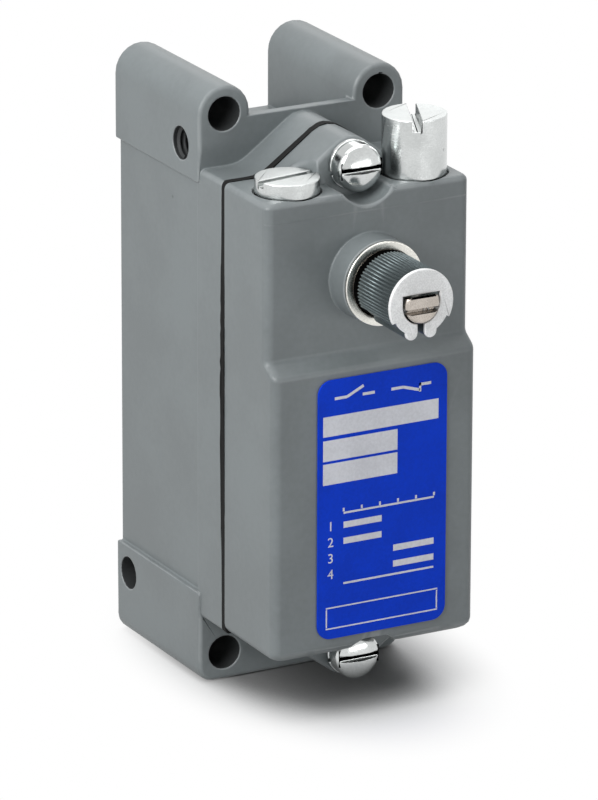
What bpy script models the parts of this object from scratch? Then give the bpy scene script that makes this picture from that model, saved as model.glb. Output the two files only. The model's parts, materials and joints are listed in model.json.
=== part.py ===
"""Rotary limit switch with a spring-return shaft, built as separate pieces.

Run with blender --background --python part.py, or from Blender's text editor.
Units are metres. +Z is up, the front of the switch faces -Y, and the origin is the
centre of the mounting-hole pattern on the rear face.
"""

import math

import bmesh
import bpy
from mathutils import Matrix, Vector

# Clearances and the fineness of curves
SEAT_GAP = 0.0002
RUN_GAP = 0.0001
SCREW_GAP = 0.0003
CUT_PAST = 0.002
ROUND_STEPS = 32
HOLE_STEPS = 24
SMALL_STEPS = 12
ARC_STEPS = 4
DOME_STEPS = 4
COIL_STEPS = 10
FOLLOWER_STEPS = 10
SHARP_ANGLE = math.radians(35)
WELD_DISTANCE = 1e-7
EMPTY_SIZE = 0.01

# Mounting pattern and base housing
MOUNT_PITCH_X = 0.0372
MOUNT_PITCH_Z = 0.1214
MOUNT_HOLE_DIAMETER = 0.0075
EAR_RADIUS = 0.0062
EAR_DEPTH = 0.0393
EAR_WEB_THICKNESS = 0.0030
EAR_WEB_DROP = 0.0073
LOWER_CORNER_RADIUS = 0.0035
BASE_DEPTH = 0.0488
BASE_DRAFT_STEP = 0.00075
HOUSING_WIDTH = 0.0488
HOUSING_CORNER_RADIUS = 0.0012
COVER_TOP_SETBACK = 0.0115
COVER_BOTTOM_SETBACK = 0.0090
UPPER_PAD_LAP = 0.0030
LOWER_PAD_LAP = 0.0056
SIDE_WALL = 0.0037
BACK_WALL = 0.0045
BASE_TOP_WALL = 0.0032
BASE_FLOOR = 0.0052
CAVITY_CORNER_RADIUS = 0.0040
SIDE_HOLE_DIAMETER = 0.0072
UPPER_SIDE_HOLE_Y = -0.0310
UPPER_SIDE_HOLE_RISE = 0.0038
LOWER_SIDE_HOLE_Y = -0.0056
LOWER_SIDE_HOLE_DROP = 0.0006
CONDUIT_DIAMETER = 0.0198
CONDUIT_Y = -0.0205
GROUND_SCREW_SIDE_MARGIN = 0.0065
GROUND_SCREW_RISE = 0.0065

# Cover screws and the humps that carry them
COVER_SCREW_RISE = 0.0038
COVER_SCREW_FALL = 0.0043
COVER_SCREW_DIAMETER = 0.0059
COVER_SCREW_LENGTH = 0.0215
COVER_SCREW_HEAD_DIAMETER = 0.0104
COVER_SCREW_HEAD_HEIGHT = 0.0050
COVER_SCREW_DOME = 0.0022
COVER_SCREW_DOME_ANGLE = math.radians(72)
COVER_SCREW_SLOT = 0.0014
COVER_SCREW_SLOT_DEPTH = 0.0013
LOCK_WASHER_LIP = 0.0002
LOCK_WASHER_THICKNESS = 0.0011
HUMP_LIP = 0.0007
HUMP_SLOPE = math.radians(36)
HUMP_BLEND_RADIUS = 0.0080
HUMP_SINK = 0.0002
LUG_DEPTH = 0.0105
CHANNEL_CLEARANCE = 0.0018

# Gasket, cover and nameplate
GASKET_THICKNESS = 0.0010
GASKET_INSET = 0.0004
COVER_DEPTH = 0.0187
COVER_FRONT_WALL = 0.0030
COVER_SIDE_WALL = 0.0038
COVER_HEAD_WALL = 0.0057
COVER_FLOOR_WALL = 0.0047
COVER_EDGE_RADIUS = 0.0020
COVER_TOP_ROUND = 0.0013
COVER_BOTTOM_ROUND = 0.0024
LOWER_STEP = 0.0036
STEP_DROP = 0.0187
STEP_RISE = 0.0024
STEP_ROUND = 0.0016
NAMEPLATE_LEFT_MARGIN = 0.0103
NAMEPLATE_RIGHT_MARGIN = 0.0074
NAMEPLATE_TOP_MARGIN = 0.0018
NAMEPLATE_BOTTOM_MARGIN = 0.0039
NAMEPLATE_CORNER_RADIUS = 0.0032
NAMEPLATE_THICKNESS = 0.0004

# Shaft, bushing and sleeve
SHAFT_DROP = 0.0185
SHAFT_DIAMETER = 0.0081
SHAFT_FLAT = 0.0017
SHAFT_FLAT_LENGTH = 0.0150
SHAFT_PROUD = 0.0008
SHAFT_SLOT_WIDTH = 0.0011
SHAFT_SLOT_DEPTH = 0.0018
SHAFT_SLOT_DROP = 0.0012
BUSHING_DIAMETER = 0.0162
BUSHING_WALL = 0.00065
BUSHING_RIM = 0.0009
BUSHING_RECESS_DEPTH = 0.0042
BOSS_WALL = 0.00125
BOSS_LENGTH = 0.0062
SEAL_THICKNESS = 0.0016
SLEEVE_DIAMETER = 0.0152
SLEEVE_GAP = 0.0018
SLEEVE_LENGTH = 0.0139
SLEEVE_TEETH = 60
SLEEVE_TOOTH_DEPTH = 0.00035
SLEEVE_RELIEF_DEPTH = 0.0007
SLEEVE_RELIEF_ANGLE = math.radians(29)
SLEEVE_BORE_CLEARANCE = 0.00035
SLEEVE_FLAT_CLEARANCE = 0.0005
SLEEVE_SLIT = 0.0017
SLEEVE_PRONG_WIDTH = 0.0028

# Return mechanism under the two plugs
OPERATING_ANGLE = math.radians(50)
PLUG_SIDE_MARGIN = 0.0092
PLUG_SETBACK = 0.0108
PLUG_LIP = 0.00135
PLUG_RECESS_DEPTH = 0.0010
PLUG_RECESS_GAP = 0.0004
PLUG_SEAL_THICKNESS = 0.0005
STOP_PLUG_HEIGHT = 0.0031
STOP_PLUG_SLOT = 0.0018
STOP_PLUG_SLOT_DEPTH = 0.0014
STOP_PLUG_SLOT_TURN = math.radians(8)
STOP_PIN_DIAMETER = 0.0050
STOP_PIN_GRIP = 0.0040
SPRING_CAP_HEIGHT = 0.0129
SPRING_CAP_BORE = 0.0095
SPRING_CAP_WALL = 0.00085
SPRING_CAP_ROOF = 0.0049
SPRING_CAP_SLOT = 0.0019
SPRING_CAP_SLOT_DEPTH = 0.0024
SPRING_CAP_SLOT_TURN = math.radians(67)
PLUNGER_END_GAP = 0.0002
PLUNGER_WALL = 0.0010
PLUNGER_FLOOR = 0.0015
RETURN_SPRING_CLEARANCE = 0.00035
RETURN_SPRING_WIRE = 0.0009
RETURN_SPRING_TURNS = 8
LUG_INSET = 0.0032
LUG_RISE = 0.0015
ARM_HUB_DIAMETER = 0.0140
ARM_WIDTH = 0.0070
ARM_THICKNESS = 0.0050
ARM_OVERREACH = 0.0020
ARM_PIN_DIAMETER = 0.0024

# Rear bearing of the shaft, fixed inside the cover
BEARING_PLATE_THICKNESS = 0.0020
BEARING_PLATE_SIDE_GAP = 0.0013
BEARING_PLATE_INSET = 0.0013
BEARING_PLATE_CORNER_RADIUS = 0.0030
BEARING_POST_MARGIN = 0.0046
BEARING_POST_DROP = 0.0155
BEARING_POST_DIAMETER = 0.0064
BEARING_SCREW_DIAMETER = 0.0026
BEARING_SCREW_LENGTH = 0.0080
BEARING_SCREW_HEAD_DIAMETER = 0.0050
BEARING_SCREW_HEAD_HEIGHT = 0.0016
RETAINING_RING_DIAMETER = 0.0120
RETAINING_RING_THICKNESS = 0.0010

# Contact crank and carriage
CRANK_WIDTH = 0.0060
CRANK_BASE_RADIUS = 0.0042
CRANK_HUB_DIAMETER = 0.0082
CRANK_RELIEF = 0.0002
CRANK_SCREW_DIAMETER = 0.0030
CRANK_SCREW_LENGTH = 0.0120
CRANK_SCREW_HEAD_DIAMETER = 0.0052
CRANK_SCREW_HEAD_HEIGHT = 0.0020
CARRIAGE_SETBACK = 0.0074
CARRIAGE_HEAD_DIAMETER = 0.0120
CARRIAGE_HEAD_THICKNESS = 0.0024
CARRIAGE_STEM_DIAMETER = 0.0068
CARRIAGE_TAIL_DIAMETER = 0.0046
CARRIAGE_TAIL_GAP = 0.0010
BRIDGE_DROP = 0.0133
BRIDGE_LENGTH = 0.0164
BRIDGE_WIDTH = 0.0068
BRIDGE_THICKNESS = 0.0012
CONTACT_DIAMETER = 0.0032
CONTACT_HEIGHT = 0.0008
CONTACT_GAP = 0.0001
CONTACT_MARGIN = 0.0022
CONTACT_SPRING_CLEARANCE = 0.0006
CONTACT_SPRING_WIRE = 0.0006
CONTACT_SPRING_LENGTH = 0.0080
CONTACT_SPRING_TURNS = 5
SPRING_CLIP_LIP = 0.0008
SPRING_CLIP_THICKNESS = 0.0010
CARRIAGE_SPRING_CLEARANCE = 0.00065
CARRIAGE_SPRING_WIRE = 0.0007
CARRIAGE_SPRING_LENGTH = 0.0110
CARRIAGE_SPRING_TURNS = 6

# Contact block and terminals
BLOCK_DEPTH = 0.0352
BLOCK_ROOF = 0.0040
BLOCK_FLOOR = 0.0070
POCKET_CLEARANCE = 0.0013
POCKET_SIDE_WALL = 0.0014
POCKET_DEPTH = 0.0150
BLOCK_COVER_THICKNESS = 0.0016
BLOCK_COVER_LAP = 0.0010
BLADE_THICKNESS = 0.0012
BLADE_WIDTH = 0.0064
TERMINAL_DEPTH = 0.0060
TERMINAL_HEIGHT = 0.0060
TERMINAL_TAB_WIDTH = 0.0056
TERMINAL_SCREW_DIAMETER = 0.0030
TERMINAL_SCREW_LENGTH = 0.0090
TERMINAL_SCREW_HEAD_DIAMETER = 0.0050
TERMINAL_SCREW_HEAD_HEIGHT = 0.0022
CLAMP_THICKNESS = 0.0012
BLOCK_SCREW_MARGIN = 0.0035
BLOCK_SCREW_INSET = 0.0030
BLOCK_SCREW_DIAMETER = 0.0030
BLOCK_SCREW_BITE = 0.0030
BLOCK_SCREW_HEAD_DIAMETER = 0.0054
BLOCK_SCREW_HEAD_HEIGHT = 0.0022
GROUND_SCREW_DIAMETER = 0.0034
GROUND_SCREW_BITE = 0.0028
GROUND_SCREW_HEAD_DIAMETER = 0.0070
GROUND_SCREW_HEAD_HEIGHT = 0.0030
INNER_SCREW_SLOT = 0.0009
INNER_SCREW_SLOT_DEPTH = 0.0009

# Outside planes and levels, from the mounting pattern outwards
HALF_WIDTH = HOUSING_WIDTH / 2
EAR_X = MOUNT_PITCH_X / 2
EAR_Z = MOUNT_PITCH_Z / 2
PAD_HALF_WIDTH = EAR_X + EAR_RADIUS
FOOT_Z = -EAR_Z - EAR_RADIUS
COVER_TOP_Z = EAR_Z - COVER_TOP_SETBACK
COVER_BOTTOM_Z = COVER_BOTTOM_SETBACK - EAR_Z
UPPER_PAD_EDGE_Z = COVER_TOP_Z - UPPER_PAD_LAP
LOWER_PAD_EDGE_Z = COVER_BOTTOM_Z + LOWER_PAD_LAP
CHAMBER_HALF_WIDTH = HALF_WIDTH - BASE_DRAFT_STEP - SIDE_WALL
CHAMBER_FLOOR_Z = COVER_BOTTOM_Z + BASE_FLOOR
GROUND_SCREW_X = GROUND_SCREW_SIDE_MARGIN - CHAMBER_HALF_WIDTH
GROUND_SCREW_Z = CHAMBER_FLOOR_Z + GROUND_SCREW_RISE
EAR_FRONT = -EAR_DEPTH
BASE_FACE = -BASE_DEPTH
GASKET_BACK = BASE_FACE - SEAT_GAP
GASKET_FRONT = GASKET_BACK - GASKET_THICKNESS
COVER_BACK = GASKET_FRONT - SEAT_GAP
COVER_FRONT = COVER_BACK - COVER_DEPTH
BLOCK_FACE = COVER_FRONT - LOWER_STEP
LUG_FRONT = COVER_BACK - LUG_DEPTH
WASHER_FRONT = LUG_FRONT - RUN_GAP - LOCK_WASHER_THICKNESS
COVER_SCREW_SEAT = WASHER_FRONT - RUN_GAP
COVER_SCREW_END = COVER_SCREW_SEAT + COVER_SCREW_LENGTH
COVER_SCREW_HOLE = COVER_SCREW_DIAMETER + 2 * SCREW_GAP
COVER_SCREW_LEVELS = {"top": COVER_TOP_Z + COVER_SCREW_RISE, "bottom": COVER_BOTTOM_Z - COVER_SCREW_FALL}
HUMP_RADIUS = COVER_SCREW_HEAD_DIAMETER / 2 + HUMP_LIP
CEILING_Z = COVER_TOP_Z - COVER_HEAD_WALL
SHAFT_Z = COVER_TOP_Z - SHAFT_DROP
STEP_EDGE_Z = SHAFT_Z - STEP_DROP

# Shaft, sleeve and return mechanism
BOSS_DIAMETER = BUSHING_DIAMETER + 2 * BOSS_WALL
BOSS_FRONT = COVER_FRONT - BOSS_LENGTH
RIM_FRONT = BOSS_FRONT - RUN_GAP - BUSHING_RIM
SHAFT_BORE = SHAFT_DIAMETER + 2 * RUN_GAP
SLEEVE_BACK = RIM_FRONT - SLEEVE_GAP
SLEEVE_FRONT = SLEEVE_BACK - SLEEVE_LENGTH
SHAFT_FRONT = SLEEVE_FRONT - SHAFT_PROUD
PLUG_X = HALF_WIDTH - PLUG_SIDE_MARGIN
PLUG_Y = COVER_BACK - PLUG_SETBACK
PLUG_NECK_DIAMETER = SPRING_CAP_BORE + 2 * SPRING_CAP_WALL
PLUG_DIAMETER = PLUG_NECK_DIAMETER + 2 * PLUG_LIP
PLUG_SEAT_Z = COVER_TOP_Z - PLUG_RECESS_DEPTH
PLUG_HEAD_Z = PLUG_SEAT_Z + PLUG_SEAL_THICKNESS + 2 * RUN_GAP
PLUG_NECK_END = CEILING_Z + SCREW_GAP
ARM_FRONT = PLUG_Y - ARM_WIDTH / 2
ARM_BACK = PLUG_Y + ARM_WIDTH / 2
BUSHING_END = ARM_FRONT - SCREW_GAP
LUG_BASE_RADIUS = PLUG_X - LUG_INSET
LUG_LIFT = LUG_BASE_RADIUS * OPERATING_ANGLE
PLUNGER_BOTTOM = SHAFT_Z + LUG_RISE + RUN_GAP / 2
PLUNGER_FLOOR_Z = PLUNGER_BOTTOM + PLUNGER_FLOOR
PLUNGER_BORE = SPRING_CAP_BORE - 2 * RUN_GAP - 2 * PLUNGER_WALL
SPRING_CAP_TOP = COVER_TOP_Z + SPRING_CAP_HEIGHT
SPRING_SEAT_Z = SPRING_CAP_TOP - SPRING_CAP_ROOF
PLUNGER_TOP = SPRING_SEAT_Z - LUG_LIFT - PLUNGER_END_GAP
RETURN_SPRING_DIAMETER = PLUNGER_BORE - RETURN_SPRING_WIRE - 2 * RETURN_SPRING_CLEARANCE
BEARING_PLATE_BACK = COVER_BACK - BEARING_PLATE_INSET
BEARING_PLATE_FRONT = BEARING_PLATE_BACK - BEARING_PLATE_THICKNESS
BEARING_POST_X = HALF_WIDTH - COVER_SIDE_WALL - BEARING_POST_MARGIN
BEARING_POST_Z = SHAFT_Z - BEARING_POST_DROP
BEARING_SCREW_HOLE = BEARING_SCREW_DIAMETER + 2 * SCREW_GAP

# Contact block, carriage and terminals, from the crank downwards
BLOCK_REAR = -BACK_WALL - SEAT_GAP
BLOCK_FRONT = BLOCK_REAR - BLOCK_DEPTH
CARRIAGE_Y = BLOCK_FRONT + CARRIAGE_SETBACK
CRANK_FRONT = CARRIAGE_Y - CRANK_WIDTH / 2
CRANK_BACK = CARRIAGE_Y + CRANK_WIDTH / 2
CRANK_REACH = CRANK_HUB_DIAMETER / 2 + CRANK_RELIEF
SHAFT_BACK = CRANK_FRONT - SEAT_GAP
CARRIAGE_TRAVEL = CRANK_BASE_RADIUS * OPERATING_ANGLE
CARRIAGE_TOP = SHAFT_Z - CRANK_REACH - RUN_GAP / 2
CARRIAGE_HEAD_BOTTOM = CARRIAGE_TOP - CARRIAGE_HEAD_THICKNESS
BLOCK_TOP = CARRIAGE_HEAD_BOTTOM - CARRIAGE_TRAVEL - SCREW_GAP
POCKET_TOP = BLOCK_TOP - BLOCK_ROOF
SHOULDER_Z = BLOCK_TOP - BRIDGE_DROP
BRIDGE_TOP = SHOULDER_Z - RUN_GAP
BRIDGE_BOTTOM = BRIDGE_TOP - BRIDGE_THICKNESS
CONTACT_X = BRIDGE_LENGTH / 2 - CONTACT_MARGIN
CONTACT_SPRING_TOP = BRIDGE_BOTTOM - RUN_GAP
CONTACT_SPRING_DIAMETER = CARRIAGE_TAIL_DIAMETER + 2 * CONTACT_SPRING_CLEARANCE + CONTACT_SPRING_WIRE
CLIP_TOP = CONTACT_SPRING_TOP - CONTACT_SPRING_LENGTH - RUN_GAP
CLIP_BOTTOM = CLIP_TOP - SPRING_CLIP_THICKNESS
SPRING_CLIP_DIAMETER = CONTACT_SPRING_DIAMETER + CONTACT_SPRING_WIRE + 2 * SPRING_CLIP_LIP
CARRIAGE_SPRING_DIAMETER = CARRIAGE_TAIL_DIAMETER + 2 * CARRIAGE_SPRING_CLEARANCE + CARRIAGE_SPRING_WIRE
CARRIAGE_SPRING_TOP = CLIP_BOTTOM - RUN_GAP
POCKET_BOTTOM = CARRIAGE_SPRING_TOP - CARRIAGE_SPRING_LENGTH - RUN_GAP
CARRIAGE_TAIL_END = POCKET_BOTTOM + CARRIAGE_TRAVEL + CARRIAGE_TAIL_GAP
BLOCK_BOTTOM = POCKET_BOTTOM - BLOCK_FLOOR
POCKET_HALF_WIDTH = BRIDGE_LENGTH / 2 + POCKET_CLEARANCE
BLOCK_HALF_WIDTH = POCKET_HALF_WIDTH + POCKET_SIDE_WALL + TERMINAL_TAB_WIDTH
TERMINAL_X = BLOCK_HALF_WIDTH - TERMINAL_TAB_WIDTH / 2
NOTCH_BACK = BLOCK_FRONT + TERMINAL_DEPTH
BLADE_BACK = CARRIAGE_Y + BLADE_WIDTH / 2
UPPER_CONTACT_Z = BRIDGE_TOP + CONTACT_HEIGHT + CONTACT_GAP
LOWER_CONTACT_Z = BRIDGE_BOTTOM - CONTACT_HEIGHT - CARRIAGE_TRAVEL - CONTACT_GAP
UPPER_BLADE_Z = UPPER_CONTACT_Z + CONTACT_HEIGHT
LOWER_BLADE_Z = LOWER_CONTACT_Z - CONTACT_HEIGHT - BLADE_THICKNESS

# Colours, roughness and metallic value of each finish
FINISHES = {
    "housing_paint": ((0.215, 0.240, 0.244), 0.42, 0.0),
    "gasket_rubber": ((0.012, 0.012, 0.013), 0.80, 0.0),
    "plated_steel": ((0.72, 0.73, 0.72), 0.32, 1.0),
    "nameplate_blue": ((0.010, 0.035, 0.36), 0.35, 0.0),
    "bushing_metal": ((0.70, 0.71, 0.68), 0.38, 1.0),
    "die_cast_zinc": ((0.50, 0.53, 0.54), 0.45, 1.0),
    "shaft_steel": ((0.46, 0.42, 0.38), 0.35, 1.0),
    "spring_steel": ((0.40, 0.40, 0.41), 0.35, 1.0),
    "moulded_black": ((0.020, 0.020, 0.022), 0.55, 0.0),
    "moulded_tan": ((0.36, 0.24, 0.13), 0.55, 0.0),
    "contact_brass": ((0.62, 0.45, 0.16), 0.34, 1.0),
    "ground_green": ((0.05, 0.22, 0.09), 0.40, 0.0),
}


def clear_scene():
    """Remove what the file opened with."""
    for obj in list(bpy.data.objects):
        bpy.data.objects.remove(obj, do_unlink=True)


def finish(name, finish_name):
    """A piece's own material, in one of the finishes."""
    colour, roughness, metallic = FINISHES[finish_name]
    material = bpy.data.materials.new(f"{name}_{finish_name}")
    material.use_nodes = True
    shader = material.node_tree.nodes["Principled BSDF"]
    shader.inputs["Base Color"].default_value = (*colour, 1.0)
    shader.inputs["Roughness"].default_value = roughness
    shader.inputs["Metallic"].default_value = metallic
    return material


def empty_at(name, place):
    """An empty that carries the pieces of one moving body."""
    carrier = bpy.data.objects.new(name, None)
    carrier.location = place
    carrier.empty_display_size = EMPTY_SIZE
    bpy.context.scene.collection.objects.link(carrier)
    return carrier


def object_from(name, bm):
    """An object whose mesh is the given bmesh, shaded smooth but for its sharp edges."""
    bmesh.ops.recalc_face_normals(bm, faces=bm.faces)
    mesh = bpy.data.meshes.new(name)
    bm.to_mesh(mesh)
    bm.free()
    mesh.shade_smooth()
    mesh.set_sharp_from_angle(angle=SHARP_ANGLE)
    obj = bpy.data.objects.new(name, mesh)
    bpy.context.scene.collection.objects.link(obj)
    return obj


def piece(name, bm, finish_name, carrier):
    """A visible piece, modelled in place and carried by an empty."""
    obj = object_from(name, bm)
    obj.data.materials.append(finish(name, finish_name))
    obj.data.transform(Matrix.Translation(-carrier.location))
    obj.parent = carrier
    return obj


def reshape(target, operation, tools):
    """Join tools to a piece, or cut them from it, in the order given."""
    for tool in tools:
        helper = object_from(f"{target.name}_{operation.lower()}_{len(target.modifiers)}", tool)
        helper.hide_render = True
        helper.display_type = "WIRE"
        modifier = target.modifiers.new(helper.name, "BOOLEAN")
        modifier.operation = operation
        modifier.solver = "EXACT"
        modifier.object = helper


def join(target, *tools):
    """Make tools part of a piece."""
    reshape(target, "UNION", tools)


def cut(target, *tools):
    """Take tools out of a piece."""
    reshape(target, "DIFFERENCE", tools)


def at(axis, u, v, along):
    """The point at (u, v) in the plane across an axis, and at a distance along it."""
    return {"X": (along, u, v), "Y": (u, along, v), "Z": (u, v, along)}[axis]


def prism(outline, axis, start, end):
    """A flat outline swept along one axis."""
    bm = bmesh.new()
    face = bm.faces.new([bm.verts.new(at(axis, u, v, start)) for u, v in outline])
    swept = bmesh.ops.extrude_face_region(bm, geom=[face])["geom"]
    moved = [element for element in swept if isinstance(element, bmesh.types.BMVert)]
    bmesh.ops.translate(bm, verts=moved, vec=at(axis, 0, 0, end - start))
    return bm


def box(low, high):
    """A box between two corners."""
    outline = [(low[0], low[1]), (high[0], low[1]), (high[0], high[1]), (low[0], high[1])]
    return prism(outline, "Z", low[2], high[2])


def turned(profile, axis, u, v, steps=ROUND_STEPS, ring=False):
    """A turned shape: (radius, distance along the axis) points spun round an axis through (u, v).

    A ring's profile is closed on itself. The open ends of any other become flat discs."""
    bm = bmesh.new()
    verts = [bm.verts.new((radius, 0, along)) for radius, along in profile]
    pairs = list(zip(verts, verts[1:]))
    if ring:
        pairs.append((verts[-1], verts[0]))
    edges = [bm.edges.new(pair) for pair in pairs]
    bmesh.ops.spin(
        bm,
        geom=verts + edges,
        cent=(0, 0, 0),
        axis=(0, 0, 1),
        angle=math.tau,
        steps=steps,
        use_merge=True,
    )
    bmesh.ops.remove_doubles(bm, verts=bm.verts, dist=WELD_DISTANCE)
    if not ring:
        bmesh.ops.holes_fill(bm, edges=[edge for edge in bm.edges if edge.is_boundary], sides=0)
    turns = {
        "X": Matrix.Rotation(math.radians(90), 4, "Y"),
        "Y": Matrix.Rotation(math.radians(-90), 4, "X"),
        "Z": Matrix.Identity(4),
    }
    bmesh.ops.transform(bm, matrix=Matrix.Translation(at(axis, u, v, 0)) @ turns[axis], verts=bm.verts)
    return bm


def rod(diameter, axis, u, v, start, end, steps=ROUND_STEPS):
    """A round bar along an axis through (u, v)."""
    radius = diameter / 2
    return turned([(radius, start), (radius, end)], axis, u, v, steps)


def collar(outer, inner, axis, u, v, start, end, steps=ROUND_STEPS):
    """A flat ring along an axis through (u, v)."""
    profile = [(inner / 2, start), (outer / 2, start), (outer / 2, end), (inner / 2, end)]
    return turned(profile, axis, u, v, steps, ring=True)


def filleted(corners, steps=ARC_STEPS):
    """An outline from (u, v, radius) corners, each rounded by its own radius."""
    points = []
    for index, (u, v, radius) in enumerate(corners):
        if not radius:
            points.append((u, v))
            continue
        corner = Vector((u, v))
        back = (Vector(corners[index - 1][:2]) - corner).normalized()
        ahead = (Vector(corners[(index + 1) % len(corners)][:2]) - corner).normalized()
        half = back.angle(ahead) / 2
        centre = corner + (back + ahead).normalized() * (radius / math.sin(half))
        first = corner + back * (radius / math.tan(half)) - centre
        sweep = math.copysign(math.pi - 2 * half, ahead.cross(back))
        for step in range(steps + 1):
            offset = first.copy()
            offset.rotate(Matrix.Rotation(sweep * step / steps, 2))
            points.append(tuple(centre + offset))
    return points


def rounded_box_outline(left, right, low, high, radius):
    """A rectangle with four equal round corners."""
    corners = [(left, low, radius), (right, low, radius), (right, high, radius), (left, high, radius)]
    return filleted(corners)


def arc(radius, start, end, steps):
    """Points on a circle round the origin, from one angle to another."""
    angles = [start + (end - start) * step / steps for step in range(steps + 1)]
    return [(radius * math.cos(angle), radius * math.sin(angle)) for angle in angles]


def hump_corners(inset, side):
    """A hump's root half-width, root level and tip level: side is 1 for the upper and -1 for the lower."""
    screw_z = COVER_SCREW_LEVELS["top" if side > 0 else "bottom"]
    edge_z = (COVER_TOP_Z if side > 0 else COVER_BOTTOM_Z) - side * inset
    tip_z = screw_z + side * (HUMP_RADIUS - inset) / math.cos(HUMP_SLOPE)
    root_x = abs(tip_z - edge_z) / math.tan(HUMP_SLOPE)
    return root_x, edge_z, tip_z


def seam_outline(inset):
    """The outline of the joint face: a box with a hump for each cover screw, drawn in by an inset."""
    half = HALF_WIDTH - inset
    blend = HUMP_BLEND_RADIUS + inset
    tip = HUMP_RADIUS - inset
    low_x, low_z, low_tip = hump_corners(inset, -1)
    top_x, top_z, top_tip = hump_corners(inset, 1)
    corners = [
        (-half, low_z, HOUSING_CORNER_RADIUS),
        (-low_x, low_z, blend),
        (0, low_tip, tip),
        (low_x, low_z, blend),
        (half, low_z, HOUSING_CORNER_RADIUS),
        (half, top_z, HOUSING_CORNER_RADIUS),
        (top_x, top_z, blend),
        (0, top_tip, tip),
        (-top_x, top_z, blend),
        (-half, top_z, HOUSING_CORNER_RADIUS),
    ]
    return filleted(corners)


def hump_outline(side):
    """One hump alone, sunk a little into the edge that it stands on."""
    root_x, edge_z, tip_z = hump_corners(0, side)
    edge_z -= side * HUMP_SINK
    base_x = root_x + HUMP_BLEND_RADIUS / 2
    base_z = edge_z - side * COVER_FLOOR_WALL / 2
    corners = [
        (-base_x, base_z, 0),
        (base_x, base_z, 0),
        (base_x, edge_z, 0),
        (root_x, edge_z, HUMP_BLEND_RADIUS),
        (0, tip_z, HUMP_RADIUS),
        (-root_x, edge_z, HUMP_BLEND_RADIUS),
        (-base_x, edge_z, 0),
    ]
    return filleted(corners)


def slotted_screw(name, carrier, place, seat, diameter, length, head, height, **options):
    """A slotted screw along Y at an (x, z) place, whose head sits on the plane y = seat.

    Options: drive 1 sends the shank to +Y and -1 to -Y, dome is how far the face falls away
    towards its rim, and slot, slot_depth, finish_name and steps are as they say."""
    drive = options.get("drive", 1)
    dome = options.get("dome", 0)
    slot = options.get("slot", INNER_SCREW_SLOT)
    slot_depth = options.get("slot_depth", INNER_SCREW_SLOT_DEPTH)
    finish_name = options.get("finish_name", "plated_steel")
    x, z = place
    top = seat - drive * height
    profile = [(diameter / 2, seat + drive * length), (diameter / 2, seat), (head / 2, seat)]
    if dome:
        for step in range(DOME_STEPS + 1):
            turn = COVER_SCREW_DOME_ANGLE * step / DOME_STEPS
            fall = dome * (1 - math.sin(turn) / math.sin(COVER_SCREW_DOME_ANGLE))
            profile.append((head / 2 * math.cos(turn), top + drive * fall))
    else:
        profile.append((head / 2, top))
    bm = turned(profile, "Y", x, z, options.get("steps", SMALL_STEPS))
    screw = piece(name, bm, finish_name, carrier)
    half = head / 2 + CUT_PAST
    low, high = sorted((top + drive * slot_depth, top - drive * CUT_PAST))
    cut(screw, box((x - half, low, z - slot / 2), (x + half, high, z + slot / 2)))


def coil_spring(name, carrier, place, low, high, diameter, wire, turns):
    """A round-wire spring along Z, as one unbroken tube. It prints the least gap between its turns."""
    curve = bpy.data.curves.new(name, "CURVE")
    curve.dimensions = "3D"
    curve.bevel_depth = wire / 2
    curve.bevel_resolution = 1
    curve.use_fill_caps = True
    spline = curve.splines.new("POLY")
    last = turns * COIL_STEPS
    spline.points.add(last)
    rise = high - low - wire
    foot = Vector((*place, low + wire / 2)) - carrier.location
    coil = []
    for index, point in enumerate(spline.points):
        angle = math.tau * index / COIL_STEPS
        round_axis = Vector((math.cos(angle), math.sin(angle), 0)) * diameter / 2
        coil.append(foot + round_axis + Vector((0, 0, rise * index / last)))
        point.co = (*coil[-1], 1)
    curve.materials.append(finish(name, "spring_steel"))
    obj = bpy.data.objects.new(name, curve)
    bpy.context.scene.collection.objects.link(obj)
    obj.parent = carrier
    gaps = [
        (here - there).length - wire
        for index, here in enumerate(coil)
        for there in coil[index + COIL_STEPS // 2 :]
    ]
    print(f"{name}: least gap between turns {min(gaps) * 1000:.2f} mm")


def follower_outline(base_radius, reach, side):
    """The working face of a lug whose flat follower moves in step with the turn of the shaft.

    It is the involute of base_radius, from the point that touches at rest to the point that
    touches at the end of the travel, in the plane across the shaft."""
    points = []
    for step in range(FOLLOWER_STEPS + 1):
        turn = OPERATING_ANGLE * step / FOLLOWER_STEPS
        touch = Vector((base_radius, reach + base_radius * turn)) * side
        touch.rotate(Matrix.Rotation(-turn, 2))
        points.append(touch)
    return points


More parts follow.
